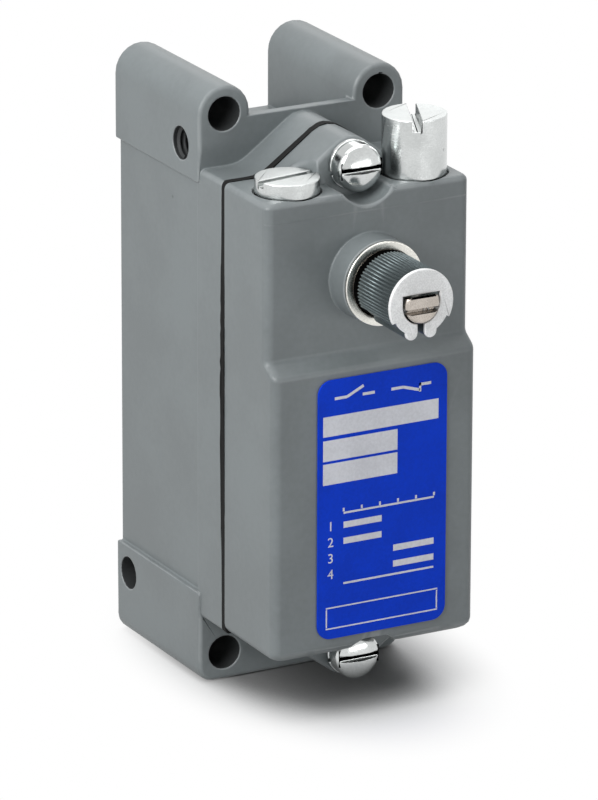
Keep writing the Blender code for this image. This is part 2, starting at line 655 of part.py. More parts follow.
def make_base(carrier):
    flange = prism(seam_outline(0), "Y", EAR_FRONT + EAR_WEB_THICKNESS / 2, BASE_FACE)
    base = piece("base_housing", flange, "housing_paint", carrier)
    half = HALF_WIDTH - BASE_DRAFT_STEP
    deck_z = COVER_TOP_Z - BASE_DRAFT_STEP
    shell = rounded_box_outline(-half, half, COVER_BOTTOM_Z + BASE_DRAFT_STEP, deck_z, HOUSING_CORNER_RADIUS)
    join(base, prism(shell, "Y", EAR_FRONT - EAR_WEB_THICKNESS, 0))
    web_z = EAR_Z + EAR_RADIUS - EAR_WEB_DROP
    join(base, box((-EAR_X, EAR_FRONT, CEILING_Z), (EAR_X, EAR_FRONT + EAR_WEB_THICKNESS, web_z)))
    for side in (-1, 1):
        inner = side * (EAR_X - EAR_RADIUS)
        outer = side * PAD_HALF_WIDTH
        crown = [(side * (EAR_X + x), EAR_Z + z) for x, z in arc(EAR_RADIUS, 0, math.pi, 3 * ARC_STEPS)]
        ridge = [(inner, UPPER_PAD_EDGE_Z), (outer, UPPER_PAD_EDGE_Z), *crown]
        join(base, prism(ridge, "Y", EAR_FRONT, 0))
    foot = [
        (-PAD_HALF_WIDTH, FOOT_Z, LOWER_CORNER_RADIUS),
        (PAD_HALF_WIDTH, FOOT_Z, LOWER_CORNER_RADIUS),
        (PAD_HALF_WIDTH, LOWER_PAD_EDGE_Z, 0),
        (-PAD_HALF_WIDTH, LOWER_PAD_EDGE_Z, 0),
    ]
    join(base, prism(filleted(foot), "Y", EAR_FRONT, 0))
    cut(base, chamber(COVER_TOP_Z - BASE_TOP_WALL, BASE_FACE - CUT_PAST, -BACK_WALL))
    cut_base_holes(base)


def chamber(top, front, back):
    """The hollow that holds the contact block, up to a level and between two planes."""
    outline = rounded_box_outline(
        -CHAMBER_HALF_WIDTH, CHAMBER_HALF_WIDTH, CHAMBER_FLOOR_Z, top, CAVITY_CORNER_RADIUS
    )
    return prism(outline, "Y", front, back)


def cut_base_holes(base):
    """Holes for mounting bolts, side bolts, conduit and every screw that bites the base."""
    for x in (-EAR_X, EAR_X):
        for z in (-EAR_Z, EAR_Z):
            cut(base, rod(MOUNT_HOLE_DIAMETER, "Y", x, z, EAR_FRONT - CUT_PAST, CUT_PAST, HOLE_STEPS))
    reach = PAD_HALF_WIDTH + CUT_PAST
    upper = (UPPER_SIDE_HOLE_Y, COVER_TOP_Z + UPPER_SIDE_HOLE_RISE)
    lower = (LOWER_SIDE_HOLE_Y, COVER_BOTTOM_Z - LOWER_SIDE_HOLE_DROP)
    for y, z in (upper, lower):
        cut(base, rod(SIDE_HOLE_DIAMETER, "X", y, z, -reach, reach, HOLE_STEPS))
    cut(base, rod(CONDUIT_DIAMETER, "Z", 0, CONDUIT_Y, FOOT_Z - CUT_PAST, CHAMBER_FLOOR_Z + CUT_PAST))
    deep = COVER_SCREW_END + SCREW_GAP
    for z in COVER_SCREW_LEVELS.values():
        cut(base, rod(COVER_SCREW_HOLE, "Y", 0, z, BASE_FACE - CUT_PAST, deep, SMALL_STEPS))
    inner_screws = [(x, z, BLOCK_SCREW_DIAMETER, BLOCK_SCREW_BITE) for x, z in block_screw_places()]
    inner_screws.append((GROUND_SCREW_X, GROUND_SCREW_Z, GROUND_SCREW_DIAMETER, GROUND_SCREW_BITE))
    for x, z, diameter, bite in inner_screws:
        deep = bite + SCREW_GAP - BACK_WALL
        hole = diameter + 2 * SCREW_GAP
        cut(base, rod(hole, "Y", x, z, -BACK_WALL - CUT_PAST, deep, SMALL_STEPS))


def make_gasket(carrier):
    sheet = prism(seam_outline(GASKET_INSET), "Y", GASKET_BACK, GASKET_FRONT)
    gasket = piece("cover_gasket", sheet, "gasket_rubber", carrier)
    past = (GASKET_FRONT - CUT_PAST, GASKET_BACK + CUT_PAST)
    cut(gasket, chamber(CEILING_Z, *past))
    for z in COVER_SCREW_LEVELS.values():
        cut(gasket, rod(COVER_SCREW_HOLE, "Y", 0, z, *past, SMALL_STEPS))


def cover_plan(front, inset):
    """The cover seen from above at one level, with its two front edges rounded."""
    half = HALF_WIDTH - inset
    corners = [
        (-half, COVER_BACK, 0),
        (-half, front, COVER_EDGE_RADIUS),
        (half, front, COVER_EDGE_RADIUS),
        (half, COVER_BACK, 0),
    ]
    return filleted(corners)


def cover_body():
    """The outside of the cover, as level outlines joined from the bottom up."""
    side = [
        (COVER_BACK, COVER_BOTTOM_Z, 0),
        (BLOCK_FACE, COVER_BOTTOM_Z, COVER_BOTTOM_ROUND),
        (BLOCK_FACE, STEP_EDGE_Z, STEP_ROUND),
        (COVER_FRONT, STEP_EDGE_Z + STEP_RISE, STEP_ROUND),
        (COVER_FRONT, COVER_TOP_Z, COVER_TOP_ROUND),
        (COVER_BACK, COVER_TOP_Z, 0),
    ]
    bm = bmesh.new()
    rings = []
    for y, z in filleted(side)[1:-1]:
        inset = 0
        if z < COVER_BOTTOM_Z + COVER_BOTTOM_ROUND:
            inset = y - BLOCK_FACE
        if z > COVER_TOP_Z - COVER_TOP_ROUND:
            inset = y - COVER_FRONT
        rings.append([bm.verts.new((u, v, z)) for u, v in cover_plan(y, inset)])
    for low, high in zip(rings, rings[1:]):
        for index in range(len(low)):
            bm.faces.new((low[index - 1], low[index], high[index], high[index - 1]))
    bm.faces.new(rings[0])
    bm.faces.new(rings[-1])
    return bm


def cover_hollow():
    """The inside of the cover, deeper behind its lower half."""
    half = HALF_WIDTH - COVER_SIDE_WALL
    floor_z = COVER_BOTTOM_Z + COVER_FLOOR_WALL
    ledge_z = STEP_EDGE_Z - COVER_FRONT_WALL
    lower_front = BLOCK_FACE + COVER_FRONT_WALL
    upper_front = COVER_FRONT + COVER_FRONT_WALL
    side = [
        (COVER_BACK + CUT_PAST, floor_z),
        (lower_front, floor_z),
        (lower_front, ledge_z),
        (upper_front, ledge_z),
        (upper_front, CEILING_Z),
        (COVER_BACK + CUT_PAST, CEILING_Z),
    ]
    return prism(side, "X", -half, half)


def make_cover(carrier):
    cover = piece("front_cover", cover_body(), "housing_paint", carrier)
    for side in (1, -1):
        join(cover, prism(hump_outline(side), "Y", COVER_BACK, LUG_FRONT))
    inside_wall = COVER_FRONT + COVER_FRONT_WALL / 2
    join(cover, rod(BOSS_DIAMETER, "Y", 0, SHAFT_Z, BOSS_FRONT, inside_wall))
    cut(cover, cover_hollow())
    post_end = BEARING_PLATE_FRONT - SEAT_GAP
    deep = BEARING_PLATE_BACK + RUN_GAP - BEARING_SCREW_LENGTH - SCREW_GAP
    for x in (-BEARING_POST_X, BEARING_POST_X):
        join(cover, rod(BEARING_POST_DIAMETER, "Y", x, BEARING_POST_Z, inside_wall, post_end, HOLE_STEPS))
        cut(cover, rod(BEARING_SCREW_HOLE, "Y", x, BEARING_POST_Z, deep, post_end + CUT_PAST, SMALL_STEPS))
    channel = COVER_SCREW_HEAD_DIAMETER + 2 * CHANNEL_CLEARANCE
    for z in COVER_SCREW_LEVELS.values():
        cut(cover, rod(channel, "Y", 0, z, BLOCK_FACE - CUT_PAST, LUG_FRONT))
        cut(cover, rod(COVER_SCREW_HOLE, "Y", 0, z, LUG_FRONT - CUT_PAST, COVER_BACK + CUT_PAST, SMALL_STEPS))
    hole = BUSHING_DIAMETER + 2 * RUN_GAP
    cut(cover, rod(hole, "Y", 0, SHAFT_Z, BOSS_FRONT - CUT_PAST, COVER_FRONT + COVER_FRONT_WALL + CUT_PAST))
    recess = PLUG_DIAMETER + 2 * PLUG_RECESS_GAP
    neck = PLUG_NECK_DIAMETER + 2 * RUN_GAP
    hump_top = hump_corners(0, 1)[2]
    for x in (-PLUG_X, PLUG_X):
        cut(cover, rod(recess, "Z", x, PLUG_Y, PLUG_SEAT_Z, hump_top + CUT_PAST))
        cut(cover, rod(neck, "Z", x, PLUG_Y, CEILING_Z - CUT_PAST, PLUG_SEAT_Z + CUT_PAST))


def make_cover_screws(carrier):
    washer_back = LUG_FRONT - RUN_GAP
    washer_size = COVER_SCREW_HEAD_DIAMETER + 2 * LOCK_WASHER_LIP
    for word, z in COVER_SCREW_LEVELS.items():
        washer = collar(washer_size, COVER_SCREW_HOLE, "Y", 0, z, WASHER_FRONT, washer_back, HOLE_STEPS)
        piece(f"lock_washer_{word}", washer, "plated_steel", carrier)
        slotted_screw(
            f"cover_screw_{word}",
            carrier,
            (0, z),
            COVER_SCREW_SEAT,
            COVER_SCREW_DIAMETER,
            COVER_SCREW_LENGTH,
            COVER_SCREW_HEAD_DIAMETER,
            COVER_SCREW_HEAD_HEIGHT,
            dome=COVER_SCREW_DOME,
            slot=COVER_SCREW_SLOT,
            slot_depth=COVER_SCREW_SLOT_DEPTH,
            steps=HOLE_STEPS,
        )


def make_nameplate(carrier):
    outline = rounded_box_outline(
        NAMEPLATE_LEFT_MARGIN - HALF_WIDTH,
        HALF_WIDTH - NAMEPLATE_RIGHT_MARGIN,
        COVER_BOTTOM_Z + NAMEPLATE_BOTTOM_MARGIN,
        STEP_EDGE_Z - NAMEPLATE_TOP_MARGIN,
        NAMEPLATE_CORNER_RADIUS,
    )
    back = BLOCK_FACE - RUN_GAP
    piece("nameplate", prism(outline, "Y", back - NAMEPLATE_THICKNESS, back), "nameplate_blue", carrier)


def make_bushing(carrier):
    bore = SHAFT_BORE / 2
    body = BUSHING_DIAMETER / 2
    recess = body - BUSHING_WALL
    rim = BOSS_DIAMETER / 2 - RUN_GAP
    recess_floor = RIM_FRONT + BUSHING_RECESS_DEPTH
    profile = [
        (bore, recess_floor),
        (recess, recess_floor),
        (recess, RIM_FRONT),
        (rim, RIM_FRONT),
        (rim, RIM_FRONT + BUSHING_RIM),
        (body, RIM_FRONT + BUSHING_RIM),
        (body, BUSHING_END),
        (bore, BUSHING_END),
    ]
    piece("shaft_bushing", turned(profile, "Y", 0, SHAFT_Z, ring=True), "bushing_metal", carrier)
    seal_back = recess_floor - RUN_GAP
    seal_size = 2 * (recess - SEAT_GAP)
    seal = collar(seal_size, SHAFT_BORE, "Y", 0, SHAFT_Z, seal_back - SEAL_THICKNESS, seal_back)
    piece("shaft_seal", seal, "gasket_rubber", carrier)


def make_plug_seals(carrier):
    low = PLUG_SEAT_Z + RUN_GAP
    bore = PLUG_NECK_DIAMETER + 2 * RUN_GAP
    for word, x in (("stop_plug", -PLUG_X), ("spring_cap", PLUG_X)):
        ring = collar(PLUG_DIAMETER, bore, "Z", x, PLUG_Y, low, low + PLUG_SEAL_THICKNESS)
        piece(f"{word}_seal", ring, "gasket_rubber", carrier)


def plug_slot(x, top, width, depth, turn):
    """The cutter for a slot across the top of a plug, turned from X about the plug's axis."""
    reach = PLUG_DIAMETER / 2 + CUT_PAST
    bm = box((-reach, -width / 2, top - depth), (reach, width / 2, top + CUT_PAST))
    place = Matrix.Translation((x, PLUG_Y, 0)) @ Matrix.Rotation(turn, 4, "Z")
    bmesh.ops.transform(bm, matrix=place, verts=bm.verts)
    return bm


def make_stop_plug(carrier):
    head = PLUG_DIAMETER / 2
    neck = PLUG_NECK_DIAMETER / 2
    top = COVER_TOP_Z + STOP_PLUG_HEIGHT
    profile = [(neck, PLUG_NECK_END), (neck, PLUG_HEAD_Z), (head, PLUG_HEAD_Z), (head, top)]
    plug = piece("stop_plug", turned(profile, "Z", -PLUG_X, PLUG_Y), "plated_steel", carrier)
    cut(plug, plug_slot(-PLUG_X, top, STOP_PLUG_SLOT, STOP_PLUG_SLOT_DEPTH, STOP_PLUG_SLOT_TURN))
    socket = STOP_PIN_DIAMETER + 2 * RUN_GAP
    socket_top = PLUG_NECK_END + STOP_PIN_GRIP
    cut(plug, rod(socket, "Z", -PLUG_X, PLUG_Y, PLUG_NECK_END - CUT_PAST, socket_top, HOLE_STEPS))
    pin = rod(STOP_PIN_DIAMETER, "Z", -PLUG_X, PLUG_Y, PLUNGER_BOTTOM, socket_top - RUN_GAP, HOLE_STEPS)
    piece("stop_pin", pin, "shaft_steel", carrier)


def make_spring_cap(carrier):
    head = PLUG_DIAMETER / 2
    neck = PLUG_NECK_DIAMETER / 2
    bore = SPRING_CAP_BORE / 2
    profile = [
        (bore, SPRING_SEAT_Z),
        (bore, PLUG_NECK_END),
        (neck, PLUG_NECK_END),
        (neck, PLUG_HEAD_Z),
        (head, PLUG_HEAD_Z),
        (head, SPRING_CAP_TOP),
    ]
    cap = piece("spring_cap", turned(profile, "Z", PLUG_X, PLUG_Y), "plated_steel", carrier)
    cut(cap, plug_slot(PLUG_X, SPRING_CAP_TOP, SPRING_CAP_SLOT, SPRING_CAP_SLOT_DEPTH, SPRING_CAP_SLOT_TURN))


def make_bearing_plate(carrier):
    half = HALF_WIDTH - COVER_SIDE_WALL - BEARING_PLATE_SIDE_GAP
    low = BEARING_POST_Z - BEARING_POST_DIAMETER / 2
    outline = rounded_box_outline(-half, half, low, CEILING_Z - SCREW_GAP, BEARING_PLATE_CORNER_RADIUS)
    sheet = prism(outline, "Y", BEARING_PLATE_FRONT, BEARING_PLATE_BACK)
    plate = piece("bearing_plate", sheet, "plated_steel", carrier)
    past = (BEARING_PLATE_FRONT - CUT_PAST, BEARING_PLATE_BACK + CUT_PAST)
    cut(plate, rod(SHAFT_BORE, "Y", 0, SHAFT_Z, *past))
    for word, x in (("left", -BEARING_POST_X), ("right", BEARING_POST_X)):
        cut(plate, rod(BEARING_SCREW_HOLE, "Y", x, BEARING_POST_Z, *past, SMALL_STEPS))
        slotted_screw(
            f"bearing_plate_screw_{word}",
            carrier,
            (x, BEARING_POST_Z),
            BEARING_PLATE_BACK + RUN_GAP,
            BEARING_SCREW_DIAMETER,
            BEARING_SCREW_LENGTH,
            BEARING_SCREW_HEAD_DIAMETER,
            BEARING_SCREW_HEAD_HEIGHT,
            drive=-1,
        )


def make_shaft(carrier):
    bar = rod(SHAFT_DIAMETER, "Y", 0, SHAFT_Z, SHAFT_FRONT, SHAFT_BACK)
    shaft = piece("operating_shaft", bar, "shaft_steel", carrier)
    wide = SHAFT_DIAMETER
    past = SHAFT_FRONT - CUT_PAST
    flat_end = SHAFT_FRONT + SHAFT_FLAT_LENGTH
    cut(shaft, box((-wide, past, SHAFT_Z + SHAFT_FLAT), (wide, flat_end, SHAFT_Z + wide)))
    slot_z = SHAFT_Z - SHAFT_SLOT_DROP
    half = SHAFT_SLOT_WIDTH / 2
    cut(shaft, box((-wide, past, slot_z - half), (wide, SHAFT_FRONT + SHAFT_SLOT_DEPTH, slot_z + half)))
    pin_hole = ARM_PIN_DIAMETER + 2 * RUN_GAP
    cut(shaft, rod(pin_hole, "Z", 0, PLUG_Y, SHAFT_Z - wide, SHAFT_Z + wide, SMALL_STEPS))
    deep = CRANK_BACK + RUN_GAP - CRANK_SCREW_LENGTH - SCREW_GAP
    screw_hole = CRANK_SCREW_DIAMETER + 2 * RUN_GAP
    cut(shaft, rod(screw_hole, "Y", 0, SHAFT_Z, deep, SHAFT_BACK + CUT_PAST, SMALL_STEPS))
    front = BEARING_PLATE_BACK + RUN_GAP
    back = front + RETAINING_RING_THICKNESS
    ring = collar(RETAINING_RING_DIAMETER, SHAFT_BORE, "Y", 0, SHAFT_Z, front, back)
    piece("shaft_retaining_ring", ring, "spring_steel", carrier)


def sleeve_outline():
    """The sleeve seen along the shaft: serrated round the top, plain below, with two clamp prongs."""
    crest = SLEEVE_DIAMETER / 2
    root = crest - SLEEVE_TOOTH_DEPTH
    relief = crest - SLEEVE_RELIEF_DEPTH
    start = -SLEEVE_RELIEF_ANGLE
    end = math.pi + SLEEVE_RELIEF_ANGLE
    teeth = round(SLEEVE_TEETH * (end - start) / math.tau)
    half_tooth = (end - start) / teeth / 2
    points = []
    for tooth in range(teeth):
        angle = start + 2 * half_tooth * tooth
        points.append((root * math.cos(angle), root * math.sin(angle)))
        points.append((crest * math.cos(angle + half_tooth), crest * math.sin(angle + half_tooth)))
    round_end = SLEEVE_PRONG_WIDTH / 2
    prong_turn = math.acos((SLEEVE_SLIT / 2 + SLEEVE_PRONG_WIDTH) / relief)
    tip = [(x, z + round_end - crest) for x, z in arc(round_end, math.pi, math.tau, 2 * ARC_STEPS)]
    middle = SLEEVE_SLIT / 2 + round_end
    points += arc(relief, end, math.pi + prong_turn, ARC_STEPS)
    points += [(x - middle, z) for x, z in tip]
    points += [(-SLEEVE_SLIT / 2, 0), (SLEEVE_SLIT / 2, 0)]
    points += [(x + middle, z) for x, z in tip]
    points += arc(relief, math.tau - prong_turn, math.tau + start, ARC_STEPS)
    return [(x, SHAFT_Z + z) for x, z in points]


def make_sleeve(carrier):
    body = prism(sleeve_outline(), "Y", SLEEVE_FRONT, SLEEVE_BACK)
    sleeve = piece("serrated_sleeve", body, "die_cast_zinc", carrier)
    half = SHAFT_DIAMETER / 2 + SLEEVE_BORE_CLEARANCE
    flat_z = SHAFT_Z + SHAFT_FLAT + SLEEVE_FLAT_CLEARANCE
    below = [(x, SHAFT_Z + z) for x, z in arc(half, math.pi, math.tau, 3 * ARC_STEPS)]
    bore = [*below, (half, flat_z), (-half, flat_z)]
    cut(sleeve, prism(bore, "Y", SLEEVE_FRONT - CUT_PAST, SLEEVE_BACK + CUT_PAST))


def make_rocker(carrier):
    hub = rod(ARM_HUB_DIAMETER, "Y", 0, SHAFT_Z, ARM_FRONT, ARM_BACK)
    rocker = piece("rocker_arm", hub, "shaft_steel", carrier)
    face = follower_outline(LUG_BASE_RADIUS, LUG_RISE, 1)
    tip = face[-1]
    right = [
        (0, -ARM_THICKNESS),
        (tip.x, tip.y - ARM_THICKNESS),
        *[tuple(point) for point in reversed(face)],
        (0, LUG_RISE - RUN_GAP),
    ]
    end = -PLUG_X - ARM_OVERREACH
    chamfer = ARM_THICKNESS / 2
    left = [
        (0, LUG_RISE),
        (end, LUG_RISE),
        (end, LUG_RISE - chamfer),
        (end + chamfer, LUG_RISE - ARM_THICKNESS),
        (0, -ARM_THICKNESS),
    ]
    for finger in (right, left):
        join(rocker, prism([(x, SHAFT_Z + z) for x, z in finger], "Y", ARM_FRONT, ARM_BACK))
    cut(rocker, rod(SHAFT_BORE, "Y", 0, SHAFT_Z, ARM_FRONT - CUT_PAST, ARM_BACK + CUT_PAST))
    pin_hole = ARM_PIN_DIAMETER + 2 * RUN_GAP
    reach = ARM_HUB_DIAMETER
    cut(rocker, rod(pin_hole, "Z", 0, PLUG_Y, SHAFT_Z - reach, SHAFT_Z + reach, SMALL_STEPS))
    pin_half = ARM_HUB_DIAMETER / 2 - SCREW_GAP
    pin = rod(ARM_PIN_DIAMETER, "Z", 0, PLUG_Y, SHAFT_Z - pin_half, SHAFT_Z + pin_half, SMALL_STEPS)
    piece("arm_pin", pin, "spring_steel", carrier)


def make_crank(carrier):
    hub = rod(CRANK_HUB_DIAMETER, "Y", 0, SHAFT_Z, CRANK_FRONT, CRANK_BACK, HOLE_STEPS)
    crank = piece("contact_crank", hub, "shaft_steel", carrier)
    radius = CRANK_HUB_DIAMETER / 2 - RUN_GAP
    face = follower_outline(CRANK_BASE_RADIUS, CRANK_REACH, -1)
    tip = face[-1]
    finger = [(0, -radius), *[tuple(point) for point in face], (tip.x, tip.y + radius / 2), (0, radius)]
    join(crank, prism([(x, SHAFT_Z + z) for x, z in finger], "Y", CRANK_FRONT, CRANK_BACK))
    hole = CRANK_SCREW_DIAMETER + 2 * RUN_GAP
    cut(crank, rod(hole, "Y", 0, SHAFT_Z, CRANK_FRONT - CUT_PAST, CRANK_BACK + CUT_PAST, SMALL_STEPS))
    slotted_screw(
        "crank_screw",
        carrier,
        (0, SHAFT_Z),
        CRANK_BACK + RUN_GAP,
        CRANK_SCREW_DIAMETER,
        CRANK_SCREW_LENGTH,
        CRANK_SCREW_HEAD_DIAMETER,
        CRANK_SCREW_HEAD_HEIGHT,
        drive=-1,
    )


def make_plunger(carrier):
    outer = SPRING_CAP_BORE / 2 - RUN_GAP
    inner = PLUNGER_BORE / 2
    profile = [
        (outer, PLUNGER_BOTTOM),
        (outer, PLUNGER_TOP),
        (inner, PLUNGER_TOP),
        (inner, PLUNGER_FLOOR_Z),
    ]
    piece("return_plunger", turned(profile, "Z", PLUG_X, PLUG_Y), "shaft_steel", carrier)


def make_springs(housing, carriage):
    coil_spring(
        "return_spring",
        housing,
        (PLUG_X, PLUG_Y),
        PLUNGER_FLOOR_Z + RUN_GAP,
        SPRING_SEAT_Z - RUN_GAP,
        RETURN_SPRING_DIAMETER,
        RETURN_SPRING_WIRE,
        RETURN_SPRING_TURNS,
    )
    coil_spring(
        "carriage_return_spring",
        housing,
        (0, CARRIAGE_Y),
        POCKET_BOTTOM + RUN_GAP,
        CARRIAGE_SPRING_TOP,
        CARRIAGE_SPRING_DIAMETER,
        CARRIAGE_SPRING_WIRE,
        CARRIAGE_SPRING_TURNS,
    )
    coil_spring(
        "contact_spring",
        carriage,
        (0, CARRIAGE_Y),
        CLIP_TOP + RUN_GAP,
        CONTACT_SPRING_TOP,
        CONTACT_SPRING_DIAMETER,
        CONTACT_SPRING_WIRE,
        CONTACT_SPRING_TURNS,
    )


def make_carriage(carrier):
    head = CARRIAGE_HEAD_DIAMETER / 2
    stem = CARRIAGE_STEM_DIAMETER / 2
    tail = CARRIAGE_TAIL_DIAMETER / 2
    profile = [
        (tail, CARRIAGE_TAIL_END),
        (tail, SHOULDER_Z),
        (stem, SHOULDER_Z),
        (stem, CARRIAGE_HEAD_BOTTOM),
        (head, CARRIAGE_HEAD_BOTTOM),
        (head, CARRIAGE_TOP),
    ]
    piece("contact_carriage", turned(profile, "Z", 0, CARRIAGE_Y, HOLE_STEPS), "moulded_tan", carrier)
    reach = BRIDGE_LENGTH / 2
    half = BRIDGE_WIDTH / 2
    bar = box((-reach, CARRIAGE_Y - half, BRIDGE_BOTTOM), (reach, CARRIAGE_Y + half, BRIDGE_TOP))
    bridge = piece("contact_bridge", bar, "contact_brass", carrier)
    ends = (BRIDGE_BOTTOM - CONTACT_HEIGHT, BRIDGE_TOP + CONTACT_HEIGHT)
    for x in (-CONTACT_X, CONTACT_X):
        join(bridge, rod(CONTACT_DIAMETER, "Z", x, CARRIAGE_Y, *ends, SMALL_STEPS))
    hole = CARRIAGE_TAIL_DIAMETER + 2 * RUN_GAP
    cut(bridge, rod(hole, "Z", 0, CARRIAGE_Y, BRIDGE_BOTTOM - CUT_PAST, BRIDGE_TOP + CUT_PAST, HOLE_STEPS))
    clip = collar(SPRING_CLIP_DIAMETER, hole, "Z", 0, CARRIAGE_Y, CLIP_BOTTOM, CLIP_TOP, HOLE_STEPS)
    piece("contact_spring_clip", clip, "spring_steel", carrier)


def terminals():
    """Each terminal as (number, side, tab bottom, tab top, blade bottom), upper pair first."""
    upper = (UPPER_BLADE_Z, UPPER_BLADE_Z + TERMINAL_HEIGHT, UPPER_BLADE_Z)
    lower_top = LOWER_BLADE_Z + BLADE_THICKNESS
    lower = (lower_top - TERMINAL_HEIGHT, lower_top, LOWER_BLADE_Z)
    return [
        (1, -1, *upper),
        (2, 1, *upper),
        (3, -1, *lower),
        (4, 1, *lower),
    ]


def block_screw_places():
    """The two screws that hold the contact block to the back wall, at opposite corners."""
    x = BLOCK_HALF_WIDTH - BLOCK_SCREW_MARGIN
    return (-x, BLOCK_TOP - BLOCK_SCREW_INSET), (x, BLOCK_BOTTOM + BLOCK_SCREW_INSET)


def make_contact_block(carrier):
    low = (-BLOCK_HALF_WIDTH, BLOCK_FRONT, BLOCK_BOTTOM)
    high = (BLOCK_HALF_WIDTH, BLOCK_REAR, BLOCK_TOP)
    block = piece("contact_block", box(low, high), "moulded_black", carrier)
    past = BLOCK_FRONT - CUT_PAST
    low = (-POCKET_HALF_WIDTH, past, POCKET_BOTTOM)
    high = (POCKET_HALF_WIDTH, BLOCK_FRONT + POCKET_DEPTH, POCKET_TOP)
    cut(block, box(low, high))
    stem_hole = CARRIAGE_STEM_DIAMETER + 2 * RUN_GAP
    cut(block, rod(stem_hole, "Z", 0, CARRIAGE_Y, POCKET_TOP - CUT_PAST, BLOCK_TOP + CUT_PAST, HOLE_STEPS))
    screw_hole = TERMINAL_SCREW_DIAMETER + 2 * SCREW_GAP
    for _, side, tab_low, tab_high, blade_low in terminals():
        inner = BLOCK_HALF_WIDTH - TERMINAL_TAB_WIDTH - SCREW_GAP
        left, right = sorted((side * inner, side * (BLOCK_HALF_WIDTH + CUT_PAST)))
        cut(block, box((left, past, tab_low - SCREW_GAP), (right, NOTCH_BACK, tab_high + SCREW_GAP)))
        left, right = sorted((side * (POCKET_HALF_WIDTH - CUT_PAST), side * (TERMINAL_X + SCREW_GAP)))
        low = (left, past, blade_low - SCREW_GAP)
        high = (right, BLADE_BACK + SCREW_GAP, blade_low + BLADE_THICKNESS + SCREW_GAP)
        cut(block, box(low, high))
        x = side * TERMINAL_X
        z = (tab_low + tab_high) / 2
        deep = NOTCH_BACK + TERMINAL_SCREW_LENGTH
        cut(block, rod(screw_hole, "Y", x, z, NOTCH_BACK - CUT_PAST, deep, SMALL_STEPS))
    for x, z in block_screw_places():
        hole = BLOCK_SCREW_DIAMETER + 2 * SCREW_GAP
        cut(block, rod(hole, "Y", x, z, past, BLOCK_REAR + CUT_PAST, SMALL_STEPS))


def make_block_cover(carrier):
    half = POCKET_HALF_WIDTH + BLOCK_COVER_LAP
    low = POCKET_BOTTOM - BLOCK_COVER_LAP
    high = POCKET_TOP + BLOCK_COVER_LAP
    back = BLOCK_FRONT - SEAT_GAP
    outline = rounded_box_outline(-half, half, low, high, BLOCK_COVER_LAP)
    plate = prism(outline, "Y", back - BLOCK_COVER_THICKNESS, back)
    piece("contact_block_cover", plate, "moulded_tan", carrier)


def make_inner_screws(carrier):
    length = BLOCK_DEPTH + RUN_GAP + SEAT_GAP + BLOCK_SCREW_BITE
    for number, place in enumerate(block_screw_places(), 1):
        slotted_screw(
            f"contact_block_screw_{number}",
            carrier,
            place,
            BLOCK_FRONT - RUN_GAP,
            BLOCK_SCREW_DIAMETER,
            length,
            BLOCK_SCREW_HEAD_DIAMETER,
            BLOCK_SCREW_HEAD_HEIGHT,
        )
    slotted_screw(
        "ground_screw",
        carrier,
        (GROUND_SCREW_X, GROUND_SCREW_Z),
        -BACK_WALL - RUN_GAP,
        GROUND_SCREW_DIAMETER,
        GROUND_SCREW_BITE,
        GROUND_SCREW_HEAD_DIAMETER,
        GROUND_SCREW_HEAD_HEIGHT,
        finish_name="ground_green",
    )


def make_terminals(carrier):
    tab_back = NOTCH_BACK - SCREW_GAP
    tab_front = tab_back - BLADE_THICKNESS
    clamp_back = tab_front - RUN_GAP
    clamp_front = clamp_back - CLAMP_THICKNESS
    hole = TERMINAL_SCREW_DIAMETER + 2 * RUN_GAP
    clamp_half = TERMINAL_TAB_WIDTH / 2 - SCREW_GAP
    for number, side, tab_low, tab_high, blade_low in terminals():
        x = side * TERMINAL_X
        z = (tab_low + tab_high) / 2
        left, right = sorted((x - side * TERMINAL_TAB_WIDTH / 2, x + side * clamp_half))
        tab = box((left, tab_front, tab_low), (right, tab_back, tab_high))
        contact = piece(f"fixed_contact_{number}", tab, "contact_brass", carrier)
        left, right = sorted((side * (CONTACT_X - CONTACT_DIAMETER / 2), x))
        blade_top = blade_low + BLADE_THICKNESS
        join(contact, box((left, tab_front + RUN_GAP, blade_low), (right, BLADE_BACK, blade_top)))
        blade_middle = blade_low + BLADE_THICKNESS / 2
        touching = UPPER_CONTACT_Z if blade_low == UPPER_BLADE_Z else LOWER_CONTACT_Z
        low, high = sorted((blade_middle, touching))
        join(contact, rod(CONTACT_DIAMETER, "Z", side * CONTACT_X, CARRIAGE_Y, low, high, SMALL_STEPS))
        cut(contact, rod(hole, "Y", x, z, tab_front - CUT_PAST, tab_back + CUT_PAST, SMALL_STEPS))
        low = (x - clamp_half, clamp_front, z - clamp_half)
        high = (x + clamp_half, clamp_back, z + clamp_half)
        clamp = piece(f"terminal_clamp_{number}", box(low, high), "plated_steel", carrier)
        cut(clamp, rod(hole, "Y", x, z, clamp_front - CUT_PAST, clamp_back + CUT_PAST, SMALL_STEPS))
        slotted_screw(
            f"terminal_screw_{number}",
            carrier,
            (x, z),
            clamp_front - RUN_GAP,
            TERMINAL_SCREW_DIAMETER,
            TERMINAL_SCREW_LENGTH,
            TERMINAL_SCREW_HEAD_DIAMETER,
            TERMINAL_SCREW_HEAD_HEIGHT,
        )


